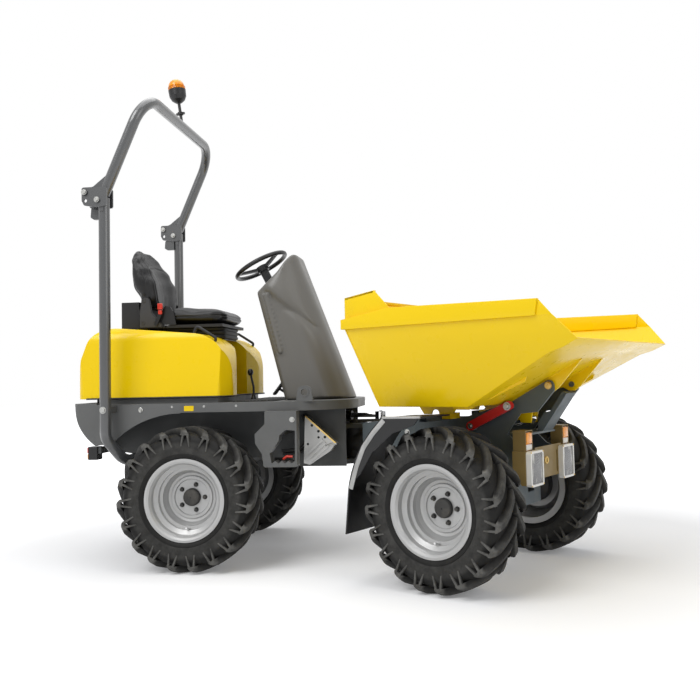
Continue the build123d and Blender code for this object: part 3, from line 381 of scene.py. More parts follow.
# ---- finishes -----------------------------------------------------------------------------------
class Finish:
    """A material being built: short calls that add and link shader nodes."""

    def __init__(self, name, base, roughness, metallic=0.0, **inputs):
        self.material = bpy.data.materials.new(name)
        self.material.use_nodes = True
        self.tree = self.material.node_tree
        self.shader = self.tree.nodes["Principled BSDF"]
        self.base = (*base[:3], 1.0)
        self.set("Base Color", self.base)
        self.set("Roughness", roughness)
        self.set("Metallic", metallic)
        for socket, value in inputs.items():
            self.set(socket.replace("_", " "), value)
        self.coords = self.node("ShaderNodeTexCoord").outputs["Object"]
        self.height = None

    def set(self, socket, value):
        self.shader.inputs[socket].default_value = value

    def node(self, kind, **values):
        made = self.tree.nodes.new(kind)
        for key, value in values.items():
            setattr(made, key, value)
        return made

    def link(self, a, b):
        self.tree.links.new(a, b)

    def noise(self, scale, detail=3.0, rough=0.5, stretch=None):
        made = self.node("ShaderNodeTexNoise")
        made.inputs["Scale"].default_value = scale
        made.inputs["Detail"].default_value = detail
        made.inputs["Roughness"].default_value = rough
        source = self.coords
        if stretch:
            mapping = self.node("ShaderNodeMapping")
            mapping.inputs["Scale"].default_value = stretch
            self.link(self.coords, mapping.inputs["Vector"])
            source = mapping.outputs["Vector"]
        self.link(source, made.inputs["Vector"])
        return made.outputs["Fac"]

    def ramp(self, fac, low, high, start=0.0, end=1.0):
        made = self.node("ShaderNodeMapRange")
        made.inputs["From Min"].default_value = low
        made.inputs["From Max"].default_value = high
        made.inputs["To Min"].default_value = start
        made.inputs["To Max"].default_value = end
        self.link(fac, made.inputs["Value"])
        return made.outputs["Result"]

    def math(self, operation, a, b):
        made = self.node("ShaderNodeMath", operation=operation)
        for i, value in enumerate((a, b)):
            if isinstance(value, (int, float)):
                made.inputs[i].default_value = value
            else:
                self.link(value, made.inputs[i])
        return made.outputs[0]

    def tint(self, other, fac):
        """Mixes another colour over the base by a 0 to 1 factor."""
        mix = self.node("ShaderNodeMix", data_type="RGBA")
        before = self.shader.inputs["Base Color"]
        if before.is_linked:
            self.link(before.links[0].from_socket, mix.inputs[6])
        else:
            mix.inputs[6].default_value = self.base
        mix.inputs[7].default_value = (*other[:3], 1.0)
        self.link(fac, mix.inputs[0])
        self.link(mix.outputs[2], before)
        return self

    def mottle(self, scale, amount, shade=0.6):
        """Broad, faint darker patches."""
        darker = tuple(c * shade for c in self.base[:3])
        return self.tint(darker, self.ramp(self.noise(scale, 4.0, 0.6), 0.42, 0.75, 0.0, amount))

    def dust(self, amount, top=0.75, other=(0.30, 0.27, 0.22)):
        """Dry dust that gathers towards the ground, broken up by noise."""
        height = self.node("ShaderNodeSeparateXYZ")
        self.link(self.coords, height.inputs[0])
        low = self.ramp(height.outputs["Z"], top, 0.05, 0.0, 1.0)
        patches = self.ramp(self.noise(9.0, 6.0, 0.65), 0.45, 0.7)
        return self.tint(other, self.math("MULTIPLY", self.math("MULTIPLY", low, patches), amount))

    def gloss(self, low, high, scale=14.0):
        """Roughness that wanders between two values."""
        self.link(self.ramp(self.noise(scale, 4.0, 0.6), 0.3, 0.7, low, high), self.shader.inputs["Roughness"])
        return self

    def bump(self, fac, strength, distance):
        made = self.node("ShaderNodeBump")
        made.inputs["Strength"].default_value = strength
        made.inputs["Distance"].default_value = distance
        self.link(fac, made.inputs["Height"])
        if self.height:
            self.link(self.height, made.inputs["Normal"])
        self.height = made.outputs["Normal"]
        self.link(self.height, self.shader.inputs["Normal"])
        return self

    def grain(self, scale, strength, distance=0.0006, detail=2.0, stretch=None):
        return self.bump(self.noise(scale, detail, 0.5, stretch), strength, distance)


FINISHES = {}


def finish(key):
    """The finish of that name, made once."""
    if key not in FINISHES:
        FINISHES[key] = globals()["make_" + key]()
    return FINISHES[key]


def gloss_paint(name, base, patches=0.12):
    """Baked gloss enamel: a clear top, faint orange peel and patches of slightly duller shine."""
    made = Finish(name, base, 0.34, Coat_Weight=0.14, Coat_Roughness=0.06, Specular_IOR_Level=0.22)
    made.mottle(2.2, patches, 0.9)
    made.gloss(0.24, 0.40)
    made.grain(420.0, 0.12, 0.0004)
    return made.dust(0.10, 0.55).material


def satin_paint(name, base, peel=0.22, dust=0.25):
    """Powder coat: a fine pebbled skin with a soft shine."""
    made = Finish(name, base, 0.46, Specular_IOR_Level=0.3)
    made.mottle(3.5, 0.35, 0.72)
    made.gloss(0.38, 0.56)
    made.grain(650.0, peel, 0.0005)
    return made.dust(dust).material


def make_yellow():
    return gloss_paint("yellow_gloss_paint", bpy.context.scene.dumper_paints.yellow)


def make_chassis():
    return satin_paint("chassis_powder_coat", bpy.context.scene.dumper_paints.chassis_grey)


def make_deck():
    return satin_paint("deck_powder_coat", bpy.context.scene.dumper_paints.deck_grey, 0.3)


def make_tower():
    return satin_paint("tower_powder_coat", bpy.context.scene.dumper_paints.tower_grey)


def make_olive():
    return satin_paint("lamp_bracket_paint", bpy.context.scene.dumper_paints.olive, 0.15, 0.1)


def make_black():
    return satin_paint("black_enamel", (0.016, 0.016, 0.017), 0.18, 0.12)


def make_cast():
    """Rough cast iron under thin black paint."""
    made = Finish("cast_iron", (0.045, 0.044, 0.042), 0.62, 0.3)
    made.mottle(20.0, 0.5, 0.6)
    made.grain(180.0, 0.6, 0.0012, 5.0)
    return made.dust(0.35, 0.9).material


def make_console():
    """Rotationally moulded plastic with a fine leather-like texture."""
    made = Finish("moulded_grey_plastic", bpy.context.scene.dumper_paints.console_grey, 0.42,
                  Specular_IOR_Level=0.55)
    made.mottle(2.5, 0.25, 0.85)
    made.gloss(0.34, 0.46, 6.0)
    return made.grain(900.0, 0.25, 0.0005, 3.0).material


def make_plastic():
    made = Finish("black_moulded_plastic", (0.008, 0.008, 0.0085), 0.34, Specular_IOR_Level=0.4)
    made.mottle(12.0, 0.4, 0.6)
    return made.grain(1100.0, 0.3, 0.0004).material


def make_rubber():
    made = Finish("black_rubber", (0.018, 0.018, 0.018), 0.6, Specular_IOR_Level=0.35)
    made.mottle(16.0, 0.5, 0.5)
    return made.grain(500.0, 0.3, 0.0005, 4.0).material


def make_bead():
    """Pale grey painted on the mudguard's black rolled edge as its highlight."""
    made = Finish("fender_edge_painted_highlight", (0.46, 0.46, 0.45), 0.3, Specular_IOR_Level=0.5)
    return made.mottle(9.0, 0.5, 0.45).grain(700.0, 0.1, 0.0003).material


def make_cheek():
    return satin_paint("seat_bracket_paint", (0.055, 0.055, 0.057), 0.2, 0.1)


def make_roll_bar():
    """Dark grey gloss enamel of the roll bar."""
    made = Finish("roll_bar_enamel", (0.060, 0.062, 0.064), 0.3,
                  Coat_Weight=0.7, Coat_Roughness=0.12, Specular_IOR_Level=0.6)
    made.mottle(6.0, 0.3, 0.75)
    return made.grain(500.0, 0.12, 0.0004).dust(0.1).material


def make_silver():
    """Silver wheel paint with a faint metallic grain."""
    made = Finish("silver_wheel_paint", bpy.context.scene.dumper_paints.silver, 0.4, 0.35, Coat_Weight=0.15,
                  Coat_Roughness=0.2)
    made.mottle(7.0, 0.25, 0.85)
    made.gloss(0.3, 0.45)
    return made.grain(1400.0, 0.12, 0.0003).material


def make_aluminium():
    made = Finish("cast_aluminium", (0.50, 0.50, 0.49), 0.42, 0.55)
    made.mottle(18.0, 0.3, 0.8)
    return made.grain(300.0, 0.25, 0.0005, 4.0).material


def make_steel():
    made = Finish("zinc_plated_steel", (0.40, 0.40, 0.385), 0.34, 1.0)
    made.mottle(30.0, 0.4, 0.75)
    return made.grain(600.0, 0.15, 0.0003).material


def make_chrome():
    made = Finish("chromed_rod", (0.80, 0.80, 0.80), 0.08, 1.0)
    return made.grain(900.0, 0.04, 0.0002, 2.0, (1.0, 1.0, 12.0)).material


def make_brass():
    made = Finish("yellow_passivated_steel", (0.62, 0.44, 0.16), 0.32, 1.0)
    return made.mottle(25.0, 0.5, 0.7).grain(500.0, 0.15, 0.0003).material


def make_red():
    return gloss_paint("red_enamel", (0.62, 0.02, 0.016))


def make_red_plastic():
    made = Finish("red_plastic", (0.60, 0.03, 0.012), 0.35)
    return made.mottle(40.0, 0.3, 0.8).grain(900.0, 0.1, 0.0003).material


def make_white_plastic():
    made = Finish("white_plastic", (0.78, 0.78, 0.76), 0.4)
    return made.mottle(14.0, 0.15, 0.85).grain(900.0, 0.15, 0.0003).material


def make_amber():
    """Moulded amber lens with fine flecks in it."""
    made = Finish("amber_lens", (0.93, 0.33, 0.004), 0.2, Coat_Weight=0.35, Coat_Roughness=0.05,
                  Specular_IOR_Level=0.3)
    return made.mottle(55.0, 0.6, 0.4).material


def make_lamp():
    """Ribbed glass over a dark reflector, with pale streaks along its flutes that are painted reflections."""
    made = Finish("lamp_glass", (0.035, 0.035, 0.037), 0.12, 0.0, Coat_Weight=0.6, Coat_Roughness=0.03)
    # Pale vertical streaks: painted reflections in the flutes.
    made.tint((0.6, 0.6, 0.56), made.ramp(made.noise(38.0, 2.0, 0.4, (1.0, 1.0, 0.22)), 0.52, 0.64, 0.0, 0.75))
    return made.material


def make_tyre():
    """Tread rubber: matt black, with grey on the lugs' ends, crests and side wall that is partly scuffing and partly
    painted highlight where light catches the raised rubber, and dust towards the ground.
    """
    made = Finish("tyre_rubber", (0.0085, 0.0083, 0.0081), 0.6, Specular_IOR_Level=0.16)
    # The 'wall' attribute is painted highlight mixed with scuffing: it greys the lugs' ends, A legs, crests and side
    # wall.
    worn = made.node("ShaderNodeAttribute", attribute_name="wall").outputs["Fac"]
    scuffs = made.ramp(made.noise(22.0, 6.0, 0.7), 0.3, 0.65, 0.3, 1.0)
    made.tint((0.15, 0.147, 0.137), made.math("MULTIPLY", worn, scuffs))
    made.mottle(6.0, 0.4, 0.6)
    made.grain(330.0, 0.3, 0.0008, 5.0)
    return made.dust(0.08, 0.4, (0.06, 0.057, 0.051)).material


def make_vinyl():
    """Seat vinyl with a soft leather grain."""
    made = Finish("seat_vinyl", (0.007, 0.007, 0.0074), 0.36, Specular_IOR_Level=0.34)
    made.mottle(9.0, 0.35, 0.6)
    cells = made.node("ShaderNodeTexVoronoi", feature="DISTANCE_TO_EDGE")
    cells.inputs["Scale"].default_value = 420.0
    made.link(made.coords, cells.inputs["Vector"])
    made.bump(made.ramp(cells.outputs["Distance"], 0.0, 0.25), 0.25, 0.0005)
    return made.grain(60.0, 0.15, 0.001, 3.0).material


# ---- repeated pieces by Geometry Nodes ----------------------------------------------------------
def socket(tree, name, kind, value=None):
    made = tree.interface.new_socket(name=name, in_out="INPUT", socket_type="NodeSocket" + kind)
    if value is not None:
        made.default_value = value
    return made


def node_in(tree, kind, links=(), **values):
    """A node of a geometry tree, its inputs set from (name, socket or number) pairs."""
    made = tree.nodes.new(kind)
    for key, value in values.items():
        setattr(made, key, value)
    for name, value in links:
        if isinstance(value, bpy.types.NodeSocket):
            tree.links.new(value, made.inputs[name])
        else:
            made.inputs[name].default_value = value
    return made


def repeat_tree(name):
    """Tree that repeats the piece's own mesh round the Y axis and gives it its finish."""
    tree = bpy.data.node_groups.new(name, "GeometryNodeTree")
    socket(tree, "Geometry", "Geometry")
    socket(tree, "Count", "Int", 19)
    socket(tree, "Finish", "Material")
    tree.interface.new_socket(name="Geometry", in_out="OUTPUT", socket_type="NodeSocketGeometry")
    given = tree.nodes.new("NodeGroupInput")
    points = node_in(tree, "GeometryNodePoints", [("Count", given.outputs["Count"])])
    index = tree.nodes.new("GeometryNodeInputIndex")
    share = node_in(tree, "ShaderNodeMath", [(0, index.outputs[0]), (1, given.outputs["Count"])],
                    operation="DIVIDE")
    angle = node_in(tree, "ShaderNodeMath", [(0, share.outputs[0]), (1, TAU)], operation="MULTIPLY")
    turn = node_in(tree, "ShaderNodeCombineXYZ", [("Y", angle.outputs[0])])
    copies = node_in(tree, "GeometryNodeInstanceOnPoints", [
        ("Points", points.outputs[0]), ("Instance", given.outputs["Geometry"]), ("Rotation", turn.outputs[0])])
    real = node_in(tree, "GeometryNodeRealizeInstances", [("Geometry", copies.outputs[0])])
    finished = node_in(tree, "GeometryNodeSetMaterial", [
        ("Geometry", real.outputs[0]), ("Material", given.outputs["Finish"])])
    out = tree.nodes.new("NodeGroupOutput")
    tree.links.new(finished.outputs[0], out.inputs[0])
    return tree


def grown(bm, tree, **inputs):
    """The plain mesh that a geometry tree makes of a drawn mesh."""
    seed_mesh = bpy.data.meshes.new("seed")
    bm.to_mesh(seed_mesh)
    bm.free()
    seed = bpy.data.objects.new("seed", seed_mesh)
    bpy.context.scene.collection.objects.link(seed)
    modifier = seed.modifiers.new("grow", "NODES")
    modifier.node_group = tree
    names = {item.name: item.identifier for item in tree.interface.items_tree if item.in_out == "INPUT"}
    for name, value in inputs.items():
        modifier[names[name.replace("_", " ")]] = value
    bpy.context.view_layer.update()
    mesh = bpy.data.meshes.new_from_object(seed.evaluated_get(bpy.context.evaluated_depsgraph_get()))
    seed.modifiers.remove(modifier)
    bpy.data.objects.remove(seed)
    bpy.data.meshes.remove(seed_mesh)
    return mesh


# ---- tyres --------------------------------------------------------------------------------------
def tread_radius(y):
    """Radius of the tread's base, which falls away to the shoulder."""
    return 352.0 - 8.0 * (y / 88.0) ** 2 if y < 88 else 344.0 - 19.0 * ((y - 88) / 30.0) ** 1.6


def lag(y):
    """Degrees that a lug trails at that distance from the middle of the tread."""
    return 20.0 * (y / 120.0) ** 0.85


def carcass(bm):
    """Casing of the tyre: tread base, shoulders, side walls with a rim guard, and the bead."""
    half = [(344 - 17 * ((y - 88) / 28) ** 1.6 if y > 88 else tread_radius(y), y)
            for y in (0, 30, 60, 88, 102, 114)]
    half += [(312, 121.5), (296, 124.0), (272, 125.5), (250, 125.5), (244, 124.6), (241.5, 122.8), (239, 124.6),
             (232, 124.0), (226, 121.0), (220.5, 116.5), (216.0, 111.5), (206, 110.6), (196, 110.6)]
    profile = [(r, -y) for r, y in reversed(half[1:])] + half
    lathe(bm, list(reversed(profile)), 152)
    low, high = profile[0], profile[-1]
    lathe(bm, [low, high], 152)


def closed_bar(bm, rows):
    """A closed solid through rows of vertices."""
    for a, b in zip(rows, rows[1:]):
        bridge(bm, a, b)
    bm.faces.new(rows[0])
    bm.faces.new(rows[-1])


def lug(bm, hand, start):
    """One lug: a curved bar from the centre over the shoulder, ending in a hollow A on the side wall."""
    rows = []
    for y in (0, 14, 30, 48, 66, 84, 100, 114, 125, 131):
        crest = 379.2 - 3.0 * (y / 100) ** 2 - max(0.0, y - 100) ** 1.7 * 0.055
        foot = tread_radius(y) - 3 if y < 100 else 341.0
        narrow = 3.3 - 0.8 * min(1.0, y / 110)
        row = []
        for radius, spread in ((foot, -narrow - 1.1), (foot + 7, -narrow - 0.5), (crest - 3.5, -narrow),
                               (crest, -narrow + 0.5), (crest, narrow - 0.5),
                               (crest - 3.5, narrow), (foot + 7, narrow + 0.5), (foot, narrow + 1.1)):
            a = math.radians(start + lag(y) + spread)
            row.append(bm.verts.new((radius * math.sin(a), hand * y, radius * math.cos(a))))
        rows.append(row)
    closed_bar(bm, rows)
    middle = start + lag(131)
    for side in (-1, 1):
        legs = []
        for radius, y, off, half in ((350, 131.4, 1.9, 0.95), (334, 131.4, 2.3, 0.85), (314, 130.4, 3.1, 0.80),
                                     (296, 129.2, 3.9, 0.78), (283, 127.0, 4.5, 0.75)):
            row = []
            for spread, out in ((-half * 1.5, -14.0), (-half, -1.2), (-half * 0.7, 0.0), (half * 0.7, 0.0),
                                (half, -1.2), (half * 1.5, -14.0)):
                a = math.radians(middle + side * off + spread)
                row.append(bm.verts.new((radius * math.sin(a), hand * (y + out), radius * math.cos(a))))
            legs.append(row)
        closed_bar(bm, legs)


def tyre_mesh(finish_material):
    bm = bmesh.new()
    lug(bm, 1, 0.0)
    lug(bm, -1, 180.0 / bpy.context.scene.dumper_tyres.lug_count)
    bmesh.ops.recalc_face_normals(bm, faces=bm.faces)
    lugs = grown(bm, repeat_tree("Repeat round the axle"), Count=bpy.context.scene.dumper_tyres.lug_count,
                 Finish=finish_material)
    bm = bmesh.new()
    carcass(bm)
    bmesh.ops.remove_doubles(bm, verts=bm.verts, dist=0.01)
    bmesh.ops.recalc_face_normals(bm, faces=bm.faces)
    casing = len(bm.verts)
    bm.from_mesh(lugs)
    bpy.data.meshes.remove(lugs)
    # wall: painted highlight mixed with scuffing. The raised lug ends and A legs are greyed most, the crests and side
    # wall less, the tread base least.
    wall = bm.verts.layers.float.new("wall")
    for i, v in enumerate(bm.verts):
        radius = math.hypot(v.co.x, v.co.z)
        if i < casing:
            v[wall] = 0.35 if 243 < radius < 300 and abs(v.co.y) > 100 else 0.08
        else:
            v[wall] = 1.0 if abs(v.co.y) > 124 else (0.45 if radius > 364 else 0.05)
    return bm


# ---- seat ---------------------------------------------------------------------------------------
def table_value(table, t):
    """Smoothly reads column values between the rows of a (t, value) table."""
    if t <= table[0][0]:
        return table[0][1]
    for (t0, v0), (t1, v1) in zip(table, table[1:]):
        if t <= t1:
            s = (t - t0) / (t1 - t0)
            return v0 + (v1 - v0) * s * s * (3 - 2 * s)
    return table[-1][1]


def squircle(angle, power):
    c, s = math.cos(angle), math.sin(angle)
    return math.copysign(abs(c) ** (2 / power), c), math.copysign(abs(s) ** (2 / power), s)


def cushion_form():
    """The cushion before it is filled: rows from the rear to the rolled front."""
    bm = bmesh.new()
    width = ((-250, 188), (-215, 212), (20, 218), (70, 196), (98, 150))
    top = ((-250, 1424), (-215, 1436), (-60, 1420), (50, 1417), (98, 1392))
    low = ((-250, 1346), (-215, 1338), (50, 1338), (98, 1356))
    rows = []
    for x in [-250 + 348 * i / 34 for i in range(35)]:
        half, high, base = table_value(width, x), table_value(top, x), table_value(low, x)
        row = []
        for k in range(56):
            u, v = squircle(TAU * k / 56, 4.2)
            dish = 9.0 * abs(u) ** 3 - 4.0 if v > 0 else 0.0
            row.append(bm.verts.new((x, half * u, (high + base) / 2 + (high - base) / 2 * v + dish)))
        rows.append(row)
    for a, b in zip(rows, rows[1:]):
        bridge(bm, a, b)
    bm.faces.new(rows[0])
    bm.faces.new(rows[-1])
    bmesh.ops.recalc_face_normals(bm, faces=bm.faces)
    return bm


BACK_LOW, BACK_RISE = 1440.0, 362.0
SPINE = ((0.0, -366), (0.12, -376), (0.38, -400), (0.61, -424), (0.83, -458), (1.0, -476))
BACK_DEPTH = ((0.0, 50), (0.12, 62), (0.38, 80), (0.61, 64), (0.83, 38), (1.0, 20))
BACK_HALF = ((0.0, 160), (0.18, 196), (0.42, 210), (0.62, 202), (0.8, 176), (0.93, 130), (1.0, 84))


def up_back(z):
    return (z - BACK_LOW) / BACK_RISE


def back_form():
    """The backrest before it is filled: deep sides, and a front that is dished between them."""
    bm = bmesh.new()
    rows = []
    for i in range(37):
        t = i / 36
        x, d, w = table_value(SPINE, t), table_value(BACK_DEPTH, t), table_value(BACK_HALF, t)
        row = []
        for k in range(72):
            u, v = squircle(TAU * k / 72, 3.6)
            dish = 0.62 * d * (1 - min(1.0, abs(u) / 0.82) ** 2) * max(0.0, v)
            row.append(bm.verts.new((x + d * v - dish, w * u, BACK_LOW + BACK_RISE * t)))
        rows.append(row)
    for a, b in zip(rows, rows[1:]):
        bridge(bm, a, b)
    bm.faces.new(rows[0])
    bm.faces.new(rows[-1])
    bmesh.ops.recalc_face_normals(bm, faces=bm.faces)
    return bm


FILL_PRESSURE = 2.5          # pushes the cover out against its own stiffness
FILL_BENDING = 40.0          # thick vinyl: low values crease
FILL_FRAMES = 20             # frames until the cover is at rest
SOFTEN_TIMES = 34


def fill_pad(bm, name, voxel, cap):
    """Remeshes a drawn form and fills it by a cloth simulation, every point held within a cap."""
    bm.transform(REAR)
    mesh = bpy.data.meshes.new(name)
    bm.to_mesh(mesh)
    bm.free()
    pad = bpy.data.objects.new(name, mesh)
    bpy.context.scene.collection.objects.link(pad)
    remesh = pad.modifiers.new("remesh", "REMESH")
    remesh.mode = "VOXEL"
    remesh.voxel_size = voxel
    bpy.context.view_layer.update()
    pad.data = bpy.data.meshes.new_from_object(pad.evaluated_get(bpy.context.evaluated_depsgraph_get()))
    pad.modifiers.clear()
    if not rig.quick():
        rest = [v.co.copy() for v in pad.data.vertices]
        cloth = pad.modifiers.new("fill", "CLOTH")
        cloth.settings.use_pressure = True
        cloth.settings.uniform_pressure_force = FILL_PRESSURE
        cloth.settings.effector_weights.gravity = 0.0
        cloth.settings.quality = 4
        cloth.settings.bending_stiffness = FILL_BENDING
        for step in range(1, FILL_FRAMES + 1):
            bpy.context.scene.frame_set(step)
        filled = pad.evaluated_get(bpy.context.evaluated_depsgraph_get()).to_mesh()
        moved = [v.co.copy() for v in filled.vertices]
        pad.modifiers.clear()
        for v, old, new in zip(pad.data.vertices, rest, moved):
            shift = new - old
            v.co = old + shift * min(1.0, cap / max(shift.length, 1e-9))
        bpy.context.scene.frame_set(1)
    soften = pad.modifiers.new("soften", "SMOOTH")
    soften.factor, soften.iterations = 0.5, SOFTEN_TIMES
    finer = pad.modifiers.new("finer", "SUBSURF")
    finer.levels = finer.render_levels = 1
    bpy.context.view_layer.update()
    pad.data = bpy.data.meshes.new_from_object(pad.evaluated_get(bpy.context.evaluated_depsgraph_get()))
    pad.modifiers.clear()
    return pad


def sew(pad, lines, depth=0.0045, width=0.0055):
    """Presses sewn channels into a pad. Each line gives the distance from a point, in module millimetres."""
    back = REAR.inverted()
    normals = [v.normal.copy() for v in pad.data.vertices]
    for v, normal in zip(pad.data.vertices, normals):
        here = back @ v.co
        near = min(abs(line(here)) for line in lines) * MM
        v.co -= normal * depth * math.exp(-(near / width) ** 2)


def pad_piece(pad, body, *nodes):
    pad.data.materials.clear()
    pad.data.materials.append(finish("vinyl"))
    pad.data.shade_smooth()
    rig.slot(pad, "seat_cover")
    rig.ride(pad, body)
    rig.replaces(pad, *nodes)
    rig.padded(pad, 0.8)


class DUMPER_OT_seat(bpy.types.Operator):
    """Fills the seat's cushion and backrest and adds their seams, piping and bellows"""
    bl_idname = "dumper.seat"
    bl_label = "Seat"

    def execute(self, context):
        cushion = fill_pad(cushion_form(), "seat_pad", 0.006, 0.010)
        sew(cushion, [lambda p: abs(p.y) - 128 if p.z > 1400 else 99.0,
                      lambda p: p.x - 38 if p.z > 1385 and abs(p.y) < 128 else 99.0,
                      lambda p: p.z - 1378 if abs(p.y) > 150 or p.x > 60 or p.x < -225 else 99.0])
        pad_piece(cushion, "hood", "seat_cushion")
        rest = fill_pad(back_form(), "backrest_pad", 0.006, 0.010)

        def wing_seam(p):
            front = p.x > table_value(SPINE, up_back(p.z)) + 4
            return abs(p.y) - 0.80 * table_value(BACK_HALF, up_back(p.z)) if front else 99.0

        def crease(p):
            within = abs(p.y) < 0.78 * table_value(BACK_HALF, up_back(p.z))
            inside = within and p.x > table_value(SPINE, up_back(p.z))
            return p.z - 1700 + 0.0009 * p.y ** 2 if inside else 99.0

        def side_oval(p):
            middle = table_value(SPINE, up_back(p.z)) - 18
            span = math.hypot((p.x - middle) / 46.0, (p.z - 1620) / 118.0)
            return (span - 1.0) * 46.0 if abs(p.y) > 0.86 * table_value(BACK_HALF, up_back(p.z)) else 99.0

        sew(rest, [wing_seam, crease, side_oval])
        pad_piece(rest, "hood", "seat_back")
        bm = bmesh.new()
        rows = []
        for z, out in ((1246, 0), (1252, 7), (1262, 9), (1270, 2), (1278, 9), (1288, 10), (1296, 3), (1303, 9),
                       (1310, 8), (1315, 1)):
            plan = corner_arcs([(-303 - out, -153 - out, 26), (69 + out, -153 - out, 44), (69 + out, 153 + out, 44),
                                (-303 - out, 153 + out, 26)])
            rows.append(ring(bm, [(x, y, z) for x, y in plan]))
        for a, b in zip(rows, rows[1:]):
            bridge(bm, a, b)
        bm.faces.new(reversed(rows[0]))
        bm.faces.new(rows[-1])
        object_from(bm, "seat_bellows", REAR, "hood", "seat_cover", finish("rubber"), angle=60)
        bm = bmesh.new()
        for hand in (-1, 1):
            path = [(-238, hand * 214, 1386), (-120, hand * 222, 1384), (20, hand * 222, 1379),
                    (64, hand * 205, 1375)]
            tube(bm, smooth_path(path, 60), 3.4, 8)
        object_from(bm, "seat_piping", REAR, "hood", "seat_cover", finish("vinyl"))
        bm = bmesh.new()
        for hand in (-1, 1):
            a, b = sorted((hand * 214, hand * 222))
            plate(bm, corner_arcs([(-318, 1331, 4), (-190, 1331, 4), (-204, 1402, 12), (-226, 1438, 12),
                                   (-258, 1442, 8), (-296, 1372, 12)]), a, b)
        object_from(bm, "seat_side_covers", REAR, "hood", "black_plastic", finish("plastic"))
        cheeks, caps = bmesh.new(), bmesh.new()
        for hand in (-1, 1):
            a, b = sorted((hand * 234.2, hand * 236.4))
            plate(cheeks, corner_arcs([(-404, 1320, 4), (-262, 1320, 8), (-292, 1350, 12), (-334, 1402, 12),
                                       (-350, 1490, 20), (-390, 1496, 20), (-404, 1400, 8)]), a, b)
            turn = Matrix.Identity(4) if hand > 0 else Matrix.Rotation(math.pi, 4, "X")
            for x, z in ((-378, 1474), (-384, 1344)):
                lathe(caps, [(0, 0.6), (8, 0.8), (9, 2.2), (11, 2.0), (12, 0)], 24,
                      place=Matrix.Translation((x, hand * 236.4, z)) @ turn)
            bolt_head(caps, (-312, hand * 236.4, 1352), (0, hand, 0), 7, 6)
        object_from(cheeks, "seat_cheeks", REAR, "hood", "mid_grey_paint", finish("cheek"))
        object_from(caps, "seat_bolts", REAR, "hood", "bare_aluminium", finish("cast"))
        bm = bmesh.new()
        for hand in (-1, 1):
            path = [(-47, hand * 385, 1222), (-8, hand * 385, 1308), (104, hand * 385, 1236),
                    (68, hand * 385, 1162)]
            tube(bm, smooth_path(path, 16), 8, 12)
        grips = object_from(bm, "grab_bars", REAR, "hood", "black_metal", finish("black"))
        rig.replaces(grips, "grab_handles")
        red, stalk = bmesh.new(), bmesh.new()
        box(red, -292, -263, -252, -238, 1420, 1456)
        box(red, -289, -266, -250, -240, 1392, 1416)
        plate(stalk, corner_arcs([(-316, 1330, 4), (-296, 1326, 4), (-268, 1392, 4), (-266, 1424, 4), (-288, 1424, 4),
                                  (-290, 1396, 4)]), -248, -242)
        tongue = object_from(with_wall(red, 0.0, 3.0, "buckle_form"), "buckle", REAR, "hood", "red_plastic",
                             finish("red_plastic"))
        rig.replaces(tongue, "seat_buckle")
        object_from(stalk, "buckle_strap", REAR, "hood", "black_plastic", finish("plastic"))
        return {"FINISHED"}


# ---- console ------------------------------------------------------------------------------------
CROWN = ((230, 1492), (284, 1524), (346, 1580), (402, 1634), (450, 1700), (482, 1733), (530, 1738), (700, 1738))


def crown_height(x, y):
    for (x0, z0), (x1, z1) in zip(CROWN, CROWN[1:]):
        if x <= x1:
            return z0 + (z1 - z0) * max(0.0, x - x0) / (x1 - x0) - 30.0 * (abs(y) / 208.0) ** 4
    return CROWN[-1][1]


def console_form():
    """Leg shield before moulding: walls from the deck up to a crown that slopes towards the driver."""
    low = corner_arcs([(441, -215, 40), (828, -215, 196), (828, 215, 196), (441, 215, 40)], 12)
    high = corner_arcs([(219, -205, 40), (498, -205, 130), (498, 205, 130), (219, 205, 40)], 12)
    bm = bmesh.new()
    tops = []
    for (x0, y0), (x1, y1) in zip(low, high):
        share = 0.9
        for _ in range(12):
            share = (crown_height(x0 + (x1 - x0) * share, y0 + (y1 - y0) * share) - 880.5) / 870.0
        tops.append(share)
    rows = []
    for k in range(31):
        rows.append([bm.verts.new((x0 + (x1 - x0) * share * k / 30, y0 + (y1 - y0) * share * k / 30,
                                   880.5 + 870 * share * k / 30))
                     for (x0, y0), (x1, y1), share in zip(low, high, tops)])
    rim = [v.co.copy() for v in rows[-1]]
    middle = Vector((380, 0, 0))
    for k in range(1, 9):
        spots = [middle + (Vector((p.x, p.y, 0)) - middle) * (1 - k / 9) for p in rim]
        rows.append([bm.verts.new((p.x, p.y, crown_height(p.x, p.y))) for p in spots])
    for a, b in zip(rows, rows[1:]):
        bridge(bm, a, b)
    bm.faces.new(rows[0])
    bm.faces.new(rows[-1])
    bmesh.ops.recalc_face_normals(bm, faces=bm.faces)
    return bm


def from_line(x, z, x0, z0, x1, z1):
    """Share along a line and distance to its left, for a point in the side view."""
    dx, dz = x1 - x0, z1 - z0
    length = math.hypot(dx, dz)
    return ((x - x0) * dx + (z - z0) * dz) / length ** 2, (dx * (z - z0) - dz * (x - x0)) / length


def ease(value, low, high):
    share = min(1.0, max(0.0, (value - low) / (high - low)))
    return share * share * (3 - 2 * share)


def moulded(p):
    """How far the console's side stands in or out there, in millimetres: its valley, its long groove and its belly."""
    along, off = from_line(p.x, p.z, 330, 1568, 668, 1288)
    width = 80.0 if off > 0 else 36.0
    valley = -30.0 * math.exp(-(off / width) ** 2) * ease(along, -0.05, 0.18) * ease(along, 1.12, 0.85)
    along, off = from_line(p.x, p.z, 346, 1480, 426, 1160)
    beyond = max(0.0, -along, along - 1.0) * 330.0
    reach = math.hypot(off, beyond)
    groove = -18.0 * ease(reach, 19.0, 11.0) + 4.0 * ease(reach, 36.0, 22.0)
    _, off = from_line(p.x, p.z, 585, 880, 380, 1500)
    belly = 20.0 * ease(-off, 0.0, 120.0) * ease(p.z, 1560.0, 1350.0)
    return valley + groove + belly


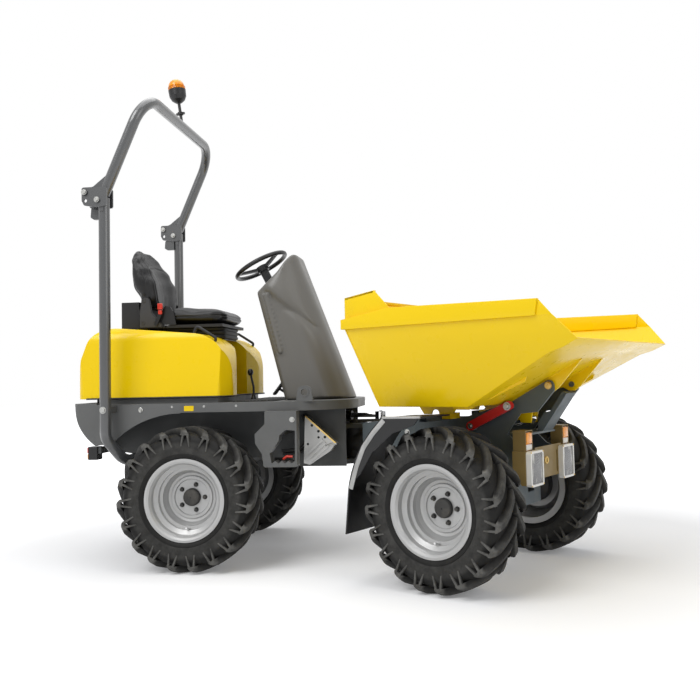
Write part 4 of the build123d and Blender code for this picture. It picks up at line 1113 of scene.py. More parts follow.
class DUMPER_OT_console(bpy.types.Operator):
    """Moulds the leg shield with its groove, valley and belly"""
    bl_idname = "dumper.console"
    bl_label = "Console"

    def execute(self, context):
        bm = console_form()
        bm.transform(REAR)
        mesh = bpy.data.meshes.new("console_shell")
        bm.to_mesh(mesh)
        bm.free()
        shell = bpy.data.objects.new("console_shell", mesh)
        context.scene.collection.objects.link(shell)
        remesh = shell.modifiers.new("remesh", "REMESH")
        remesh.mode, remesh.voxel_size = "VOXEL", 0.0065
        soften = shell.modifiers.new("soften", "SMOOTH")
        soften.factor, soften.iterations = 0.5, 26
        context.view_layer.update()
        shell.data = bpy.data.meshes.new_from_object(shell.evaluated_get(context.evaluated_depsgraph_get()))
        shell.modifiers.clear()
        back = REAR.inverted()
        for v in shell.data.vertices:
            here = back @ v.co
            side = ease(abs(here.y), 120.0, 185.0)
            if side and here.z > 890:
                here.y += math.copysign(moulded(here) * side, here.y)
            here.z = max(here.z, 880.5)
            v.co = REAR @ here
        shell.data.materials.clear()
        shell.data.materials.append(finish("console"))
        shell.data.shade_smooth()
        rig.slot(shell, "grey_plastic")
        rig.ride(shell, "rear_frame")
        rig.replaces(shell, "console")
        return {"FINISHED"}


# ---- skip ---------------------------------------------------------------------------------------
def skip_skin(bm):
    """Floor, sloping walls, ramp and pouring lip as one skin, to be given its wall thickness."""
    rows = {key: [bm.verts.new((x, hand * half, z)) for hand in (-1, 1)] for key, x, half, z in (
        ("rear_low", 548, 520, 851), ("front_low", 1045, 520, 851), ("ramp", 1490, 606.1, 1087),
        ("lip", 1555, 613.1, 1106), ("edge", 1621, 624.8, 1138), ("front_high", 1531, 662, 1240),
        ("rear_high", 451, 660.5, 1236))}
    for a, b in (("rear_high", "rear_low"), ("rear_low", "front_low"), ("front_low", "ramp"), ("ramp", "lip"),
                 ("lip", "edge")):
        bm.faces.new((rows[a][0], rows[a][1], rows[b][1], rows[b][0]))
    for hand in (0, 1):
        bm.faces.new([rows[key][hand]
                      for key in ("rear_low", "front_low", "ramp", "lip", "edge", "front_high", "rear_high")])
    bmesh.ops.recalc_face_normals(bm, faces=bm.faces)
    floor = min(bm.faces, key=lambda face: face.calc_center_median().z)
    if floor.normal.z > 0:
        bmesh.ops.reverse_faces(bm, faces=bm.faces)


def with_wall(bm, thickness, bevel, name):
    """Gives a skin its wall on the inner side, and rounds the folds."""
    mesh = bpy.data.meshes.new(name)
    bm.to_mesh(mesh)
    bm.free()
    skin = bpy.data.objects.new(name, mesh)
    bpy.context.scene.collection.objects.link(skin)
    if thickness:
        wall = skin.modifiers.new("wall", "SOLIDIFY")
        wall.thickness, wall.offset, wall.use_even_offset = thickness, -1.0, True
    rounds = skin.modifiers.new("folds", "BEVEL")
    rounds.width, rounds.segments, rounds.angle_limit = bevel, 3, math.radians(15)
    rounds.limit_method = "ANGLE"
    bpy.context.view_layer.update()
    made = bpy.data.meshes.new_from_object(skin.evaluated_get(bpy.context.evaluated_depsgraph_get()))
    skin.modifiers.clear()
    bpy.data.objects.remove(skin)
    bpy.data.meshes.remove(mesh)
    back = bmesh.new()
    back.from_mesh(made)
    bpy.data.meshes.remove(made)
    return back


class DUMPER_OT_skip(bpy.types.Operator):
    """Builds the skip of folded plate with its box rail, headboard and weld seams"""
    bl_idname = "dumper.skip"
    bl_label = "Skip"

    def execute(self, context):
        bm = bmesh.new()
        skip_skin(bm)
        shell = with_wall(bm, 6.0, 2.4, "skip_skin")
        bm = bmesh.new()
        for hand in (-1, 1):
            a, b = sorted((hand * 647, hand * 672))
            plate(bm, [(430, 1236), (1458, 1240), (1469, 1312), (717, 1326), (430, 1284)], a, b)
            a, b = sorted((hand * 656, hand * 662))
            plate(bm, [(1452, 1238), (1531, 1240), (1467, 1313), (1452, 1313)], a, b)
            a, b = sorted((hand * 650, hand * 656))
            plate(bm, [(446, 1270), (717, 1322), (625, 1417), (446, 1392)], a, b)
            a, b = sorted((hand * 636, hand * 656))
            plate(bm, [(452, 1380), (620, 1404), (625, 1417), (446, 1392)], a, b)
            a, b = sorted((hand * 130, hand * 142))
            plate(bm, [(1150, 906), (1452, 1066), (1332, 930), (1302, 908), (1270, 908), (1240, 925)], a, b)
            a, b = sorted((hand * 28, hand * 40))
            plate(bm, [(1030, 850), (1160, 911), (1134, 752), (1080, 752)], a, b)
            a, b = sorted((hand * 420, hand * 428))
            plate(bm, [(900, 852), (1300, 988), (1290, 962), (1000, 834), (920, 834)], a, b)
        box(bm, 430, 455, -668, 668, 1236, 1284)
        box(bm, 446, 452, -652, 652, 1270, 1392)
        box(bm, 448, 466, -650, 650, 1380, 1393)
        rails = with_wall(bm, 0.0, 1.8, "skip_rails")
        kept = bpy.data.meshes.new("skip_rails")
        rails.to_mesh(kept)
        rails.free()
        shell.from_mesh(kept)
        bpy.data.meshes.remove(kept)
        skip = object_from(shell, "skip_plates", FRONT, "skip", "yellow_paint", finish("yellow"), angle=30)
        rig.replaces(skip, "skip")
        bm = bmesh.new()
        for hand in (-1, 1):
            seams = (((452, hand * 660, 1235), (549, hand * 521, 852), 3.2),
                     ((446, hand * 652, 1284), (446, hand * 652, 1390), 2.4),
                     ((1160, hand * 130, 911), (1440, hand * 130, 1060), 3.4),
                     ((1160, hand * 142, 911), (1440, hand * 142, 1060), 3.4),
                     ((1040, hand * 41, 849), (1150, hand * 41, 904), 3.4))
            for a, b, radius in seams:
                a, b = Vector(a), Vector(b)
                count = int((b - a).length / 7)
                tube(bm, [a.lerp(b, i / count) for i in range(count + 1)], radius, 6,
                     radii=[radius * (1.0 if i % 2 else 0.86) for i in range(count + 1)])
        object_from(bm, "skip_welds", FRONT, "skip", "yellow_paint", finish("yellow"), angle=60)
        return {"FINISHED"}


# ---- wheels -------------------------------------------------------------------------------------
def stud(bm):
    """One wheel bolt on its cone seat, on the bolt circle."""
    place = Matrix.Translation((70, 0, 0))
    lathe(bm, [(0, 2.5), (9.0, 2.5), (9.6, 0.5), (9.6, -12.0), (12.6, -13.5), (12.6, -19.5)], 6, place=place)
    lathe(bm, [(0, -11.6), (10.4, -11.6), (12.4, -14.5), (12.4, -19.8)], 20, place=place)


class DUMPER_OT_wheels(bpy.types.Operator):
    """Adds the wheel bolts, the hub caps and the valves"""
    bl_idname = "dumper.wheels"
    bl_label = "Wheel bolts and caps"

    def execute(self, context):
        tree = repeat_tree("Repeat round the hub")
        for wheel in WHEELS:
            place = hub(wheel)
            if wheel.endswith("right"):
                place = place @ Matrix.Scale(-1, 4, (0, 1, 0))
            bm = bmesh.new()
            stud(bm)
            studs = grown(bm, tree, Count=5, Finish=finish("cast"))
            bm = bmesh.new()
            bm.from_mesh(studs)
            bpy.data.meshes.remove(studs)
            lathe(bm, [(0, 8.0), (3.2, 8.0), (3.4, 11.5), (30, 10.5), (41, 7.5), (45.4, 2.0), (45.4, -14),
                       (0, -14)], 48)
            object_from(bm, "wheel_bolts_" + wheel, place, "wheel_" + wheel, "black_metal", finish("cast"))
            bm = bmesh.new()
            path = [(0.0, 28, -157), (0.0, 40, -157), (-2, 54, -154), (-3, 66, -151)]
            tube(bm, path, 4.0, 10, radii=[6.5, 4.6, 4.0, 4.0])
            tube(bm, [(-3, 63, -151.5), (-3.4, 76, -149.5)], 5.2, 10)
            object_from(bm, "valve_" + wheel, place, "wheel_" + wheel, "chromed_rod", finish("chrome"))
        return {"FINISHED"}


# ---- lamps --------------------------------------------------------------------------------------
def ribbed_glass(bm, x, y, z, half_y, half_z, ribs=15):
    """Lens of upright flutes over a slightly bowed front."""
    count = ribs * 4
    rows = []
    for i in range(count + 1):
        u = i / count * 2 - 1
        bow = 3.0 * (1 - u * u)
        flute = 1.1 * abs(math.sin(math.pi * ribs * (u + 1) / 2))
        rows.append([bm.verts.new((x + edge + (bow + flute if edge else 0.0), y + u * half_y, z + v * half_z))
                     for v, edge in ((-1, 0.0), (-1, 0.6), (-0.5, 2.0), (0, 2.6), (0.5, 2.0), (1, 0.6), (1, 0.0))])
    for a, b in zip(rows, rows[1:]):
        bridge(bm, b, a)
    bm.faces.new(reversed(rows[0]))
    bm.faces.new(rows[-1])
    bmesh.ops.recalc_face_normals(bm, faces=bm.faces)


class DUMPER_OT_lamps(bpy.types.Operator):
    """Adds the lamp glasses, indicator lenses, rear lamps and the beacon's ribs and wing nut"""
    bl_idname = "dumper.lamps"
    bl_label = "Lamps"

    def execute(self, context):
        glass, white, amber = bmesh.new(), bmesh.new(), bmesh.new()
        screws = bmesh.new()
        for hand in (-1, 1):
            ribbed_glass(glass, 1225.6, hand * 192, 546, 60, 72)
            box(amber, 1200, 1208, hand * 222 - 30, hand * 222 + 30, 664, 716)
            box(white, 1200, 1207, hand * 222 - 30, hand * 222 + 30, 634, 661)
            for dy, dz in ((-66, -78), (66, -78), (-66, 78), (66, 78)):
                lathe(screws, [(0, 2.2), (3.2, 2.0), (4.2, 0.0)], 12,
                      place=(Matrix.Translation((1232.2, hand * 192 + dy, 546 + dz))
                             @ Matrix.Rotation(-math.pi / 2, 4, "Z")))
            for dz in (-26, 26):
                bolt_head(screws, (1200, hand * 130, 568 + dz), (1, 0, 0), 7, 5)
        object_from(glass, "headlight_glass", FRONT, "front_frame", "lamp_white", finish("lamp"), angle=50)
        object_from(with_wall(amber, 0.0, 3.0, "amber_front"), "indicator_front", FRONT, "front_frame",
                    "amber_lens", finish("amber"))
        object_from(with_wall(white, 0.0, 3.0, "white_front"), "side_light", FRONT, "front_frame", "lamp_white",
                    finish("white_plastic"))
        eye = [(1208 + 3 * math.sin(4 * TAU * k / 24), -29 + 15 * math.cos(TAU * k / 24),
                569 + 15 * math.sin(TAU * k / 24))
               for k in range(25)]
        tube(screws, [(1207, p[1], p[2]) for p in eye], 4.5, 10, capped=False)
        bmesh.ops.remove_doubles(screws, verts=screws.verts, dist=0.05)
        object_from(screws, "lamp_screws", FRONT, "front_frame", "bare_aluminium", finish("brass"))
        red, amber = bmesh.new(), bmesh.new()
        for hand in (-1, 1):
            box(red, -628, -618, hand * 417.5 - 29, hand * 417.5 + 29, 612, 645)
            box(amber, -627, -618, hand * 417.5 - 29, hand * 417.5 + 29, 580, 608)
        object_from(with_wall(red, 0.0, 3.0, "red_rear"), "tail_lenses", REAR, "rear_frame", "red_plastic",
                    finish("red_plastic"))
        object_from(with_wall(amber, 0.0, 3.0, "amber_rear"), "turn_lenses", REAR, "rear_frame", "amber_lens",
                    finish("amber"))
        lean = Matrix.Translation((-225, 0, 2605)) @ Matrix.Rotation(math.radians(-8), 4, "Y")
        upright = Matrix.Rotation(math.pi / 2, 4, "X")
        ribs = bmesh.new()
        for z in (200.5, 206, 212, 218):
            lathe(ribs, [(50.2, z - 1.6), (52.6, z), (50.2, z + 1.6)], 64, place=upright)
        ribs.transform(lean)
        object_from(ribs, "beacon_ribs", REAR, "roll_bar_top", "amber_lens", finish("amber"))
        wing = bmesh.new()
        for a, b in ((-28, -8), (8, 28)):
            plate(wing, corner_arcs([(a, 42, 4), (b, 42, 4), (b, 57, 4), (a, 57, 4)]), -2.5, 2.5)
        lathe(wing, [(0, 62), (11, 62), (12.5, 60), (12.5, 41), (10, 39), (0, 39)], 20, place=upright)
        wing.transform(lean)
        object_from(wing, "beacon_nut", REAR, "roll_bar_top", "black_metal", finish("plastic"))
        return {"FINISHED"}


# ---- hood, deck and roll bar --------------------------------------------------------------------
def row_tree(name):
    """Tree that repeats the piece's own mesh in a straight row and gives it its finish."""
    tree = bpy.data.node_groups.new(name, "GeometryNodeTree")
    socket(tree, "Geometry", "Geometry")
    socket(tree, "Count", "Int", 8)
    socket(tree, "Step", "Vector")
    socket(tree, "Finish", "Material")
    tree.interface.new_socket(name="Geometry", in_out="OUTPUT", socket_type="NodeSocketGeometry")
    given = tree.nodes.new("NodeGroupInput")
    index = tree.nodes.new("GeometryNodeInputIndex")
    shift = node_in(tree, "ShaderNodeVectorMath", [(0, given.outputs["Step"])], operation="SCALE")
    tree.links.new(index.outputs[0], shift.inputs["Scale"])
    points = node_in(tree, "GeometryNodePoints",
                     [("Count", given.outputs["Count"]), ("Position", shift.outputs[0])])
    copies = node_in(tree, "GeometryNodeInstanceOnPoints",
                     [("Points", points.outputs[0]), ("Instance", given.outputs["Geometry"])])
    real = node_in(tree, "GeometryNodeRealizeInstances", [("Geometry", copies.outputs[0])])
    finished = node_in(tree, "GeometryNodeSetMaterial",
                       [("Geometry", real.outputs[0]), ("Material", given.outputs["Finish"])])
    out = tree.nodes.new("NodeGroupOutput")
    tree.links.new(finished.outputs[0], out.inputs[0])
    return tree


def row_of(bm, tree, count, step, key):
    """A drawn piece repeated in a row, as a mesh being edited."""
    mesh = grown(bm, tree, Count=count, Step=step, Finish=finish(key))
    made = bmesh.new()
    made.from_mesh(mesh)
    bpy.data.meshes.remove(mesh)
    return made


def merge(into, more):
    mesh = bpy.data.meshes.new("merged")
    more.to_mesh(mesh)
    more.free()
    into.from_mesh(mesh)
    bpy.data.meshes.remove(mesh)


class DUMPER_OT_hood_trim(bpy.types.Operator):
    """Adds the hood's sealing strip and latch"""
    bl_idname = "dumper.hood_trim"
    bl_label = "Hood trim"

    def execute(self, context):
        bm = bmesh.new()
        seal = corner_arcs([(-636, -434, 0), (131, -434, 30), (184, -338, 70), (178, -241, 90), (129, -118, 0),
                            (129, 118, 0), (178, 241, 90), (184, 338, 70), (131, 434, 30), (-636, 434, 0)], 8)
        tube(bm, [(x, y, 913) for x, y in seal], 4.5, 8)
        object_from(bm, "hood_seal", REAR, "hood", "black_plastic", finish("rubber"))
        bm = bmesh.new()
        tube(bm, smooth_path([(60, 0, 1065), (86, 0, 1064), (96, 0, 1040), (96, 0, 985)], 18), 5.0, 10)
        plate(bm, corner_arcs([(44, 1020, 6), (58, 1020, 6), (58, 1100, 6), (44, 1100, 6)]), -26, 26)
        object_from(bm, "hood_latch", REAR, "hood", "black_metal", finish("black"))
        return {"FINISHED"}


class DUMPER_OT_cab(bpy.types.Operator):
    """Adds the foot mat, the hand lever, the pedals, the steering wheel's cap and the roll bar's bolts"""
    bl_idname = "dumper.cab"
    bl_label = "Driver's place"

    def execute(self, context):
        tree = row_tree("Repeat in a row")
        bm = bmesh.new()
        plate(bm, corner_arcs([(200, -3, 0.5), (210, -3, 0.5), (208, 0, 0.5), (202, 0, 0.5)], 1), -400, 400)
        bm.transform(Matrix.Translation((0, 0, 887)))
        ribs = row_of(bm, tree, 11, (19.5, 0.0, 0.0), "rubber")
        plate(ribs, corner_arcs([(194, -420, 30), (428, -420, 30), (428, 420, 30), (194, 420, 30)]),
              880.4, 884.6, "z")
        object_from(ribs, "foot_mat", REAR, "rear_frame", "black_plastic", finish("rubber"))
        bm = bmesh.new()
        for hand in (-1, 1):
            y = hand * 561
            for face in (-1, 1):
                for x, z, out in ((-556, 2040, 50.5), (-485, 1997, 47.5)):
                    bolt_head(bm, (x, y + face * out, z), (0, face, 0), 11, 7)
            bolt_head(bm, (-464, hand * 591.5, 855), (0, hand, 0), 13, 9)
        object_from(bm, "post_bolts", REAR, "rear_frame", "bare_aluminium", finish("steel"))
        bm = bmesh.new()
        helm = Matrix.Translation((265, 0, 1687)) @ Matrix.Rotation(math.radians(-27), 4, "Y")
        lathe(bm, [(0, -1.5), (20, -1.8), (29, -4.0), (33, -8.0), (33, -12)], 40,
              place=helm @ Matrix.Rotation(math.pi / 2, 4, "X"))
        object_from(bm, "wheel_cap", REAR, "steering_wheel", "black_plastic", finish("plastic"))
        bm = bmesh.new()
        tube(bm, smooth_path([(222, -60, 884), (222, -60, 960), (206, -60, 1030)], 60), 6.5, 12)
        lathe(bm, [(0, 26), (10, 24), (16, 14), (17, 2), (12, -10), (7, -14)], 24,
              place=Matrix.Translation((204, -60, 1040)) @ Matrix.Rotation(math.pi / 2, 4, "X"))
        lathe(bm, [(0, 30), (9, 28), (14, 10), (24, 0)], 24,
              place=Matrix.Translation((222, -60, 884)) @ Matrix.Rotation(math.pi / 2, 4, "X"))
        object_from(bm, "hand_lever", REAR, "rear_frame", "black_plastic", finish("plastic"))
        bm = bmesh.new()
        for y, wide in ((-150, 34), (150, 30)):
            pedal = corner_arcs([(y - wide, -46, 8), (y + wide, -46, 8), (y + wide, 46, 8), (y - wide, 46, 8)])
            plate(bm, pedal, -4, 4, "x")
            for k in range(7):
                plate(bm, [(y - wide + 6, -38 + 12 * k), (y + wide - 6, -38 + 12 * k), (y + wide - 6, -34 + 12 * k),
                           (y - wide + 6, -34 + 12 * k)], -7, -3, "x")
        bm.transform(Matrix.Translation((398, 0, 948)) @ Matrix.Rotation(math.radians(38), 4, "Y"))
        for y in (-150, 150):
            tube(bm, [(402, y, 944), (440, y, 920)], 7, 10)
        object_from(bm, "pedals", REAR, "rear_frame", "black_plastic", finish("rubber"))
        return {"FINISHED"}


class DUMPER_OT_side_parts(bpy.types.Operator):
    """Adds the step's lever and bolts, the finned cover's plugs and pipes, and the deck's tags"""
    bl_idname = "dumper.side_parts"
    bl_label = "Steps, cover and pipes"

    def execute(self, context):
        tree = row_tree("Repeat in a row")
        silver = bmesh.new()
        for hand in (-1, 1):
            bolt_head(silver, (560, hand * 541, 786), (0, hand, 0), 10, 7)
        lathe(silver, [(8, 2), (11, 4), (14, 2), (14, 0), (8, 0)], 24, closed=True,
              place=Matrix.Translation((-300, -480.5, 848)) @ Matrix.Rotation(math.pi, 4, "X"))
        bolt_head(silver, (-300, -480.5, 848), (0, -1, 0), 6, 5)
        for x in (-120, 60, 240):
            bolt_head(silver, (x, -480.5, 862), (0, -1, 0), 4.5, 3)
            bolt_head(silver, (x, 480.5, 862), (0, 1, 0), 4.5, 3)
        object_from(silver, "side_bolts", REAR, "rear_frame", "bare_aluminium", finish("steel"))
        bm = bmesh.new()
        tube(bm, smooth_path([(500, -500, 575), (520, -503, 590), (552, -506, 588)], 10), 7, 12)
        object_from(bm, "red_lever", REAR, "rear_frame", "red_plastic", finish("red_plastic"))
        bm = bmesh.new()
        plate(bm, corner_arcs([(-52, 838, 4), (2, 838, 4), (2, 866, 4), (-52, 866, 4)]), -482, -480)
        object_from(bm, "blank_tag", REAR, "rear_frame", "yellow_paint", finish("yellow"))
        bm = bmesh.new()
        lathe(bm, [(0, 1.6), (6.2, 1.6), (7.4, 0.6), (7.6, 0)], 20,
              place=Matrix.Translation((626, -343.2, 742)) @ Matrix.Rotation(math.pi, 4, "X"))
        plugs = row_of(bm, tree, 3, (36.0, 0.0, -32.4), "rubber")
        bm = bmesh.new()
        lathe(bm, [(0, 1.6), (5.2, 1.6), (6.4, 0.6), (6.6, 0)], 20,
              place=Matrix.Translation((602, -343.2, 640)) @ Matrix.Rotation(math.pi, 4, "X"))
        merge(plugs, row_of(bm, tree, 2, (60.0, 0.0, 36.0), "rubber"))
        object_from(plugs, "cover_plugs", REAR, "rear_frame", "black_plastic", finish("rubber"))
        bm = bmesh.new()
        edge = [(592, 797), (761, 645), (756, 639), (587, 791)]
        plate(bm, edge, -346, -336)
        object_from(bm, "cover_strip", REAR, "rear_frame", "bare_aluminium", finish("brass"))
        bm = bmesh.new()
        tube(bm, smooth_path([(700, -349, 626), (730, -352, 640), (764, -352, 640)], 12), 5, 10)
        lathe(bm, [(0, 6), (9, 6), (10, 4), (10, 0)], 20,
              place=Matrix.Translation((700, -343.5, 626)) @ Matrix.Rotation(math.pi, 4, "X"))
        object_from(bm, "cover_lever", REAR, "rear_frame", "bare_aluminium", finish("steel"))
        bm = bmesh.new()
        for k in range(3):
            y = -285 + 30 * k
            path = [(560 + 10 * k, y, 800), (600 + 14 * k, y, 700 - 16 * k),
                    (560, y - 6, 610 - 18 * k), (440, y + 4, 600 - 20 * k)]
            tube(bm, smooth_path(path, 60), 8.5, 12)
        object_from(bm, "side_hoses", REAR, "rear_frame", "black_plastic", finish("rubber"))
        return {"FINISHED"}


class DUMPER_OT_front_parts(bpy.types.Operator):
    """Adds the pins, nuts, flap bolts and hoses of the front module, and the fenders' rolled edges in pale grey as a
    painted highlight
    """
    bl_idname = "dumper.front_parts"
    bl_label = "Front module's fittings"

    def execute(self, context):
        brass, steel = bmesh.new(), bmesh.new()
        for hand in (-1, 1):
            turn = Matrix.Identity(4) if hand > 0 else Matrix.Rotation(math.pi, 4, "X")
            lathe(brass, [(0, 9), (13, 9), (15.5, 7), (15.5, 0), (18.5, 0), (18.5, -5)], 32,
                  place=Matrix.Translation((1287, hand * 166.5, 940)) @ turn)
            lathe(brass, [(0, 12), (4, 12), (5, 9)], 12, place=Matrix.Translation((1287, hand * 166.5, 940)) @ turn)
            for x, z in ((470, 560), (470, 700), (760, 560), (760, 700)):
                bolt_head(steel, (x, hand * 160.3, z), (0, hand, 0), 11, 8)
            for x, z in ((1150, 520), (1180, 600)):
                bolt_head(steel, (x, hand * 160.3, z), (0, hand, 0), 9, 6)
        bolt_head(steel, (1090, -211.5, 842), (0, -1, 0), 14, 11)
        bolt_head(steel, (884, -211.5, 743), (0, -1, 0), 10, 7)
        object_from(brass, "skip_pin_ends", FRONT, "front_frame", "bare_aluminium", finish("brass"))
        object_from(steel, "front_bolts", FRONT, "front_frame", "bare_aluminium", finish("steel"))
        bm = bmesh.new()
        tree = row_tree("Repeat in a row")
        # The fenders' rolled edges along the curve and the top, finished pale grey: a painted highlight on their black
        # plastic.
        for hand in (-1, 1):
            curve = smooth_path([(655, 0, 802), (589, 0, 738), (530, 0, 668), (484, 0, 572), (446, 0, 462)], 120)
            outer, inner = [(p.x, p.z) for p in curve], []
            for i, p in enumerate(curve):
                run = (curve[min(i + 1, len(curve) - 1)] - curve[max(i - 1, 0)]).normalized()
                inner.append((p.x - 24 * run.z, p.z + 24 * run.x))
            rows = []
            for out, in_ in zip(outer, inner):
                middle = ((out[0] + in_[0]) / 2, (out[1] + in_[1]) / 2)
                rows.append(ring(bm, [(out[0], hand * 650, out[1]), (out[0], hand * 654, out[1]),
                                      (middle[0], hand * 658, middle[1]),
                                      (in_[0], hand * 654, in_[1]), (in_[0], hand * 650, in_[1])]))
            closed_bar(bm, rows)
            tube(bm, [(655, hand * 650, 805), (866, hand * 650, 809)], 6.0, 10)
        bmesh.ops.recalc_face_normals(bm, faces=bm.faces)
        object_from(bm, "fender_edge_highlight_bands", FRONT, "front_frame", "black_plastic", finish("bead"))
        clamps = bmesh.new()
        for hand in (-1, 1):
            seed = bmesh.new()
            inner = min(hand * 392, hand * 640)
            bolt_head(seed, (433.5, inner + 24, 440), (-1, 0, 0), 7, 5)
            merge(clamps, row_of(seed, tree, 4, (0.0, 66.0, 0.0), "steel"))
        object_from(clamps, "flap_bolts", FRONT, "front_frame", "bare_aluminium", finish("steel"))
        bm = bmesh.new()
        for y, z in ((-78, 690), (-104, 668), (96, 680)):
            path = [(222, y, z), (300, y, z - 4), (360, y, z - 60), (400, y, 640)]
            tube(bm, smooth_path(path, 60), 8.0, 12)
            tube(bm, [(219, y, z), (240, y, z)], 12, 6)
        object_from(bm, "front_hoses", FRONT, "front_frame", "black_plastic", finish("rubber"))
        return {"FINISHED"}


# ---- operators ----------------------------------------------------------------------------------
CAD_FINISHES = {
    "yellow": ("skip", "hood", "skip_rests"),
    "chassis": ("rear_chassis",),
    "roll_bar": ("rops_posts", "rops_hoop"),
    "deck": ("deck", "deck_skirts", "counterweight", "steps"),
    "tower": ("front_chassis",),
    "olive": ("lamp_brackets",),
    "black": ("rear_axle", "front_axle", "seat_frame", "grab_handles", "steering_cylinder", "tip_cylinder"),
    "cast": ("engine", "centre_joint"),
    "console": ("console",),
    "plastic": ("beacon_base", "steering_column", "steering_wheel", "fenders", "rear_lamps"),
    "silver": ("rim_rear_left", "rim_rear_right", "rim_front_left", "rim_front_right"),
    "aluminium": ("valve_cover",),
    "chrome": ("steering_rod", "tip_rod"),
    "red": ("safety_strut",),
    "red_plastic": ("seat_buckle",),
    "amber": ("beacon_lens", "indicators"),
    "white_plastic": ("headlights",),
    "tyre": ("tyre_rear_left", "tyre_rear_right", "tyre_front_left", "tyre_front_right"),
    }


class DUMPER_OT_finishes(bpy.types.Operator):
    """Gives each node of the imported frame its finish"""
    bl_idname = "dumper.finishes"
    bl_label = "Finishes"

    def execute(self, context):
        for key, nodes in CAD_FINISHES.items():
            for node in nodes:
                piece = frame["nodes"][node]
                if not piece.material_slots:
                    piece.data.materials.append(finish(key))
                for held in piece.material_slots:
                    held.material = finish(key)
        return {"FINISHED"}


class DUMPER_OT_tyres(bpy.types.Operator):
    """Builds the four lugged tyres"""
    bl_idname = "dumper.tyres"
    bl_label = "Tyres"

    def execute(self, context):
        for wheel in WHEELS:
            bm = tyre_mesh(finish("tyre"))
            place = hub(wheel)
            if wheel.endswith("right"):
                place = place @ Matrix.Scale(-1, 4, (0, 1, 0))
            piece = object_from(bm, "tread_" + wheel, place, "wheel_" + wheel, "tyre_rubber", finish("tyre"))
            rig.replaces(piece, "tyre_" + wheel)
        return {"FINISHED"}


def area_light(name, at, target, size, power):
    light = bpy.data.lights.new(name, "AREA")
    light.shape = "RECTANGLE"
    light.size, light.size_y = size
    light.energy = power
    lamp = bpy.data.objects.new(name, light)
    lamp.location = at
    lamp.rotation_mode = "QUATERNION"
    lamp.rotation_quaternion = (Vector(target) - Vector(at)).to_track_quat("-Z", "Y")
    bpy.context.scene.collection.objects.link(lamp)
    return lamp


def seen_white(tree, output, plain):
    """White to the camera and in reflections, and the plain shader to everything else."""
    path = tree.nodes.new("ShaderNodeLightPath")
    seen = tree.nodes.new("ShaderNodeMath")
    seen.operation = "MAXIMUM"
    tree.links.new(path.outputs["Is Camera Ray"], seen.inputs[0])
    glossy = tree.nodes.new("ShaderNodeMath")
    glossy.operation = "MAXIMUM"
    tree.links.new(path.outputs["Is Glossy Ray"], glossy.inputs[0])
    tree.links.new(path.outputs["Is Transmission Ray"], glossy.inputs[1])
    tree.links.new(glossy.outputs[0], seen.inputs[1])
    white = tree.nodes.new("ShaderNodeBackground")
    white.inputs["Color"].default_value = (1, 1, 1, 1)
    mix = tree.nodes.new("ShaderNodeMixShader")
    tree.links.new(seen.outputs[0], mix.inputs[0])
    tree.links.new(plain, mix.inputs[1])
    tree.links.new(white.outputs[0], mix.inputs[2])
    tree.links.new(mix.outputs[0], output)


GLOW_FROM, GLOW_TO = 2.2, 5.5        # metres from the machine's middle
GLOW_NEAR, GLOW_FAR = 0.16, 1.0


def shine_on_floor(made):
    """Lifts the lit floor to white where it is seen, and more so away from the machine; its shadow stays."""
    away = made.node("ShaderNodeVectorMath", operation="LENGTH")
    made.link(made.coords, away.inputs[0])
    glow = made.node("ShaderNodeEmission")
    glow.inputs["Color"].default_value = (1, 1, 1, 1)
    path = made.node("ShaderNodeLightPath")
    seen = made.math("MAXIMUM", made.math("MAXIMUM", path.outputs["Is Camera Ray"], path.outputs["Is Glossy Ray"]),
                     path.outputs["Is Transmission Ray"])
    made.link(made.math("MULTIPLY", made.ramp(away.outputs["Value"], GLOW_FROM, GLOW_TO, GLOW_NEAR, GLOW_FAR), seen),
              glow.inputs["Strength"])
    both = made.node("ShaderNodeAddShader")
    made.link(made.shader.outputs[0], both.inputs[0])
    made.link(glow.outputs[0], both.inputs[1])
    made.link(both.outputs[0], made.tree.nodes["Material Output"].inputs["Surface"])


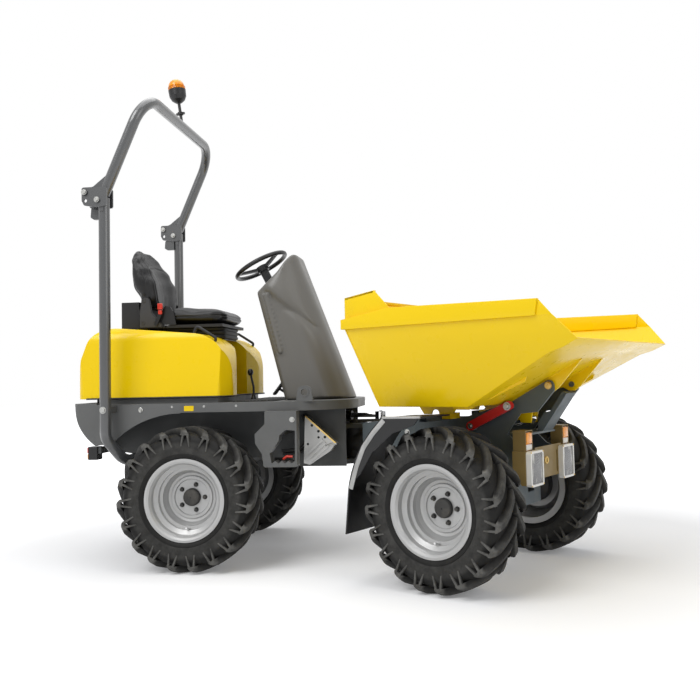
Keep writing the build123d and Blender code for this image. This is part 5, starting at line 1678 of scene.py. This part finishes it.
class DUMPER_OT_stage(bpy.types.Operator):
    """Sets the pale floor, the soft light and the camera"""
    bl_idname = "dumper.stage"
    bl_label = "Floor, light and camera"

    def execute(self, context):
        settings = context.scene.dumper_stage
        world = bpy.data.worlds.new("pale_sky")
        context.scene.world = world
        world.use_nodes = True
        tree = world.node_tree
        plain = tree.nodes["Background"]
        plain.inputs["Color"].default_value = (0.93, 0.95, 1.0, 1)
        plain.inputs["Strength"].default_value = 0.38
        seen_white(tree, tree.nodes["World Output"].inputs["Surface"], plain.outputs[0])
        half = settings.floor_size / 2
        bm = bmesh.new()
        bm.faces.new(ring(bm, [(-half, -half, 0), (half, -half, 0), (half, half, 0), (-half, half, 0)]))
        mesh = bpy.data.meshes.new("floor")
        bm.to_mesh(mesh)
        bm.free()
        floor = bpy.data.objects.new("floor", mesh)
        floor.location.z = -0.002
        made = Finish("pale_floor", (0.86, 0.86, 0.86), 0.8, Specular_IOR_Level=0.0)
        shine_on_floor(made)
        mesh.materials.append(made.material)
        context.scene.collection.objects.link(floor)
        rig.stage(floor)
        power = settings.sun_strength
        low, high = CAD_BOX
        middle = (low + high) / 2
        area_light("key_light", middle + Vector((-3.5, -5.0, 5.5)), middle, (5.0, 4.0), 380 * power)
        area_light("fill_light", middle + Vector((5.5, -3.5, 2.5)), middle, (4.0, 4.0), 90 * power)
        area_light("top_light", middle + Vector((0.0, 0.5, 6.0)), middle, (7.0, 7.0), 270 * power)
        camera = bpy.data.cameras.new("camera")
        camera.sensor_width = 36.0
        camera.lens = 40.77
        camera.shift_x, camera.shift_y = -0.0257, -0.0179
        holder = bpy.data.objects.new("camera", camera)
        context.scene.collection.objects.link(holder)
        ahead = Vector((-0.12546, 0.99080, 0.05068)).normalized()
        right = Vector((0.99208, 0.12563, 0.0)).normalized()
        up = right.cross(ahead)
        roll = -0.0231
        leaned = right * math.cos(roll) + up * math.sin(roll)
        upright = up * math.cos(roll) - right * math.sin(roll)
        turn = Matrix((leaned, upright, -ahead)).transposed()
        holder.matrix_world = Matrix.Translation(Vector((0.5745, -4.3105, 0.9969))) @ turn.to_4x4()
        context.scene.camera = holder
        context.scene.view_settings.view_transform = "Standard"
        return {"FINISHED"}


class DUMPER_PT_pieces(bpy.types.Panel):
    """Lists the dumper's sizes, colours and pieces"""
    bl_label = "Site dumper"
    bl_idname = "DUMPER_PT_pieces"
    bl_space_type = "VIEW_3D"
    bl_region_type = "UI"
    bl_category = "Dumper"

    def draw(self, context):
        column = self.layout.column()
        for settings in (context.scene.dumper_paints, context.scene.dumper_tyres, context.scene.dumper_stage):
            for name in settings.bl_rna.properties.keys():
                if name not in ("rna_type", "name"):
                    column.prop(settings, name)
        for operator in OPERATORS:
            column.operator(operator.bl_idname)


OPERATORS = (DUMPER_OT_finishes, DUMPER_OT_tyres, DUMPER_OT_wheels, DUMPER_OT_skip, DUMPER_OT_seat,
             DUMPER_OT_console, DUMPER_OT_lamps, DUMPER_OT_hood_trim, DUMPER_OT_cab, DUMPER_OT_side_parts,
             DUMPER_OT_front_parts, DUMPER_OT_stage)
CLASSES = (DumperPaints, TyreSizes, StageSettings, *OPERATORS, DUMPER_PT_pieces)


def register():
    for made in CLASSES:
        bpy.utils.register_class(made)
    bpy.types.Scene.dumper_paints = PointerProperty(type=DumperPaints)
    bpy.types.Scene.dumper_tyres = PointerProperty(type=TyreSizes)
    bpy.types.Scene.dumper_stage = PointerProperty(type=StageSettings)


def unregister():
    del bpy.types.Scene.dumper_stage
    del bpy.types.Scene.dumper_tyres
    del bpy.types.Scene.dumper_paints
    for made in reversed(CLASSES):
        bpy.utils.unregister_class(made)


def main():
    register()
    for operator in OPERATORS:
        getattr(bpy.ops.dumper, operator.bl_idname.split(".")[1])()
    with open("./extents.json", "w") as out:
        json.dump([[list(corner) for corner in CAD_BOX], [list(corner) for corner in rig.bounds()]], out)


if __name__ == "__main__":
    main()
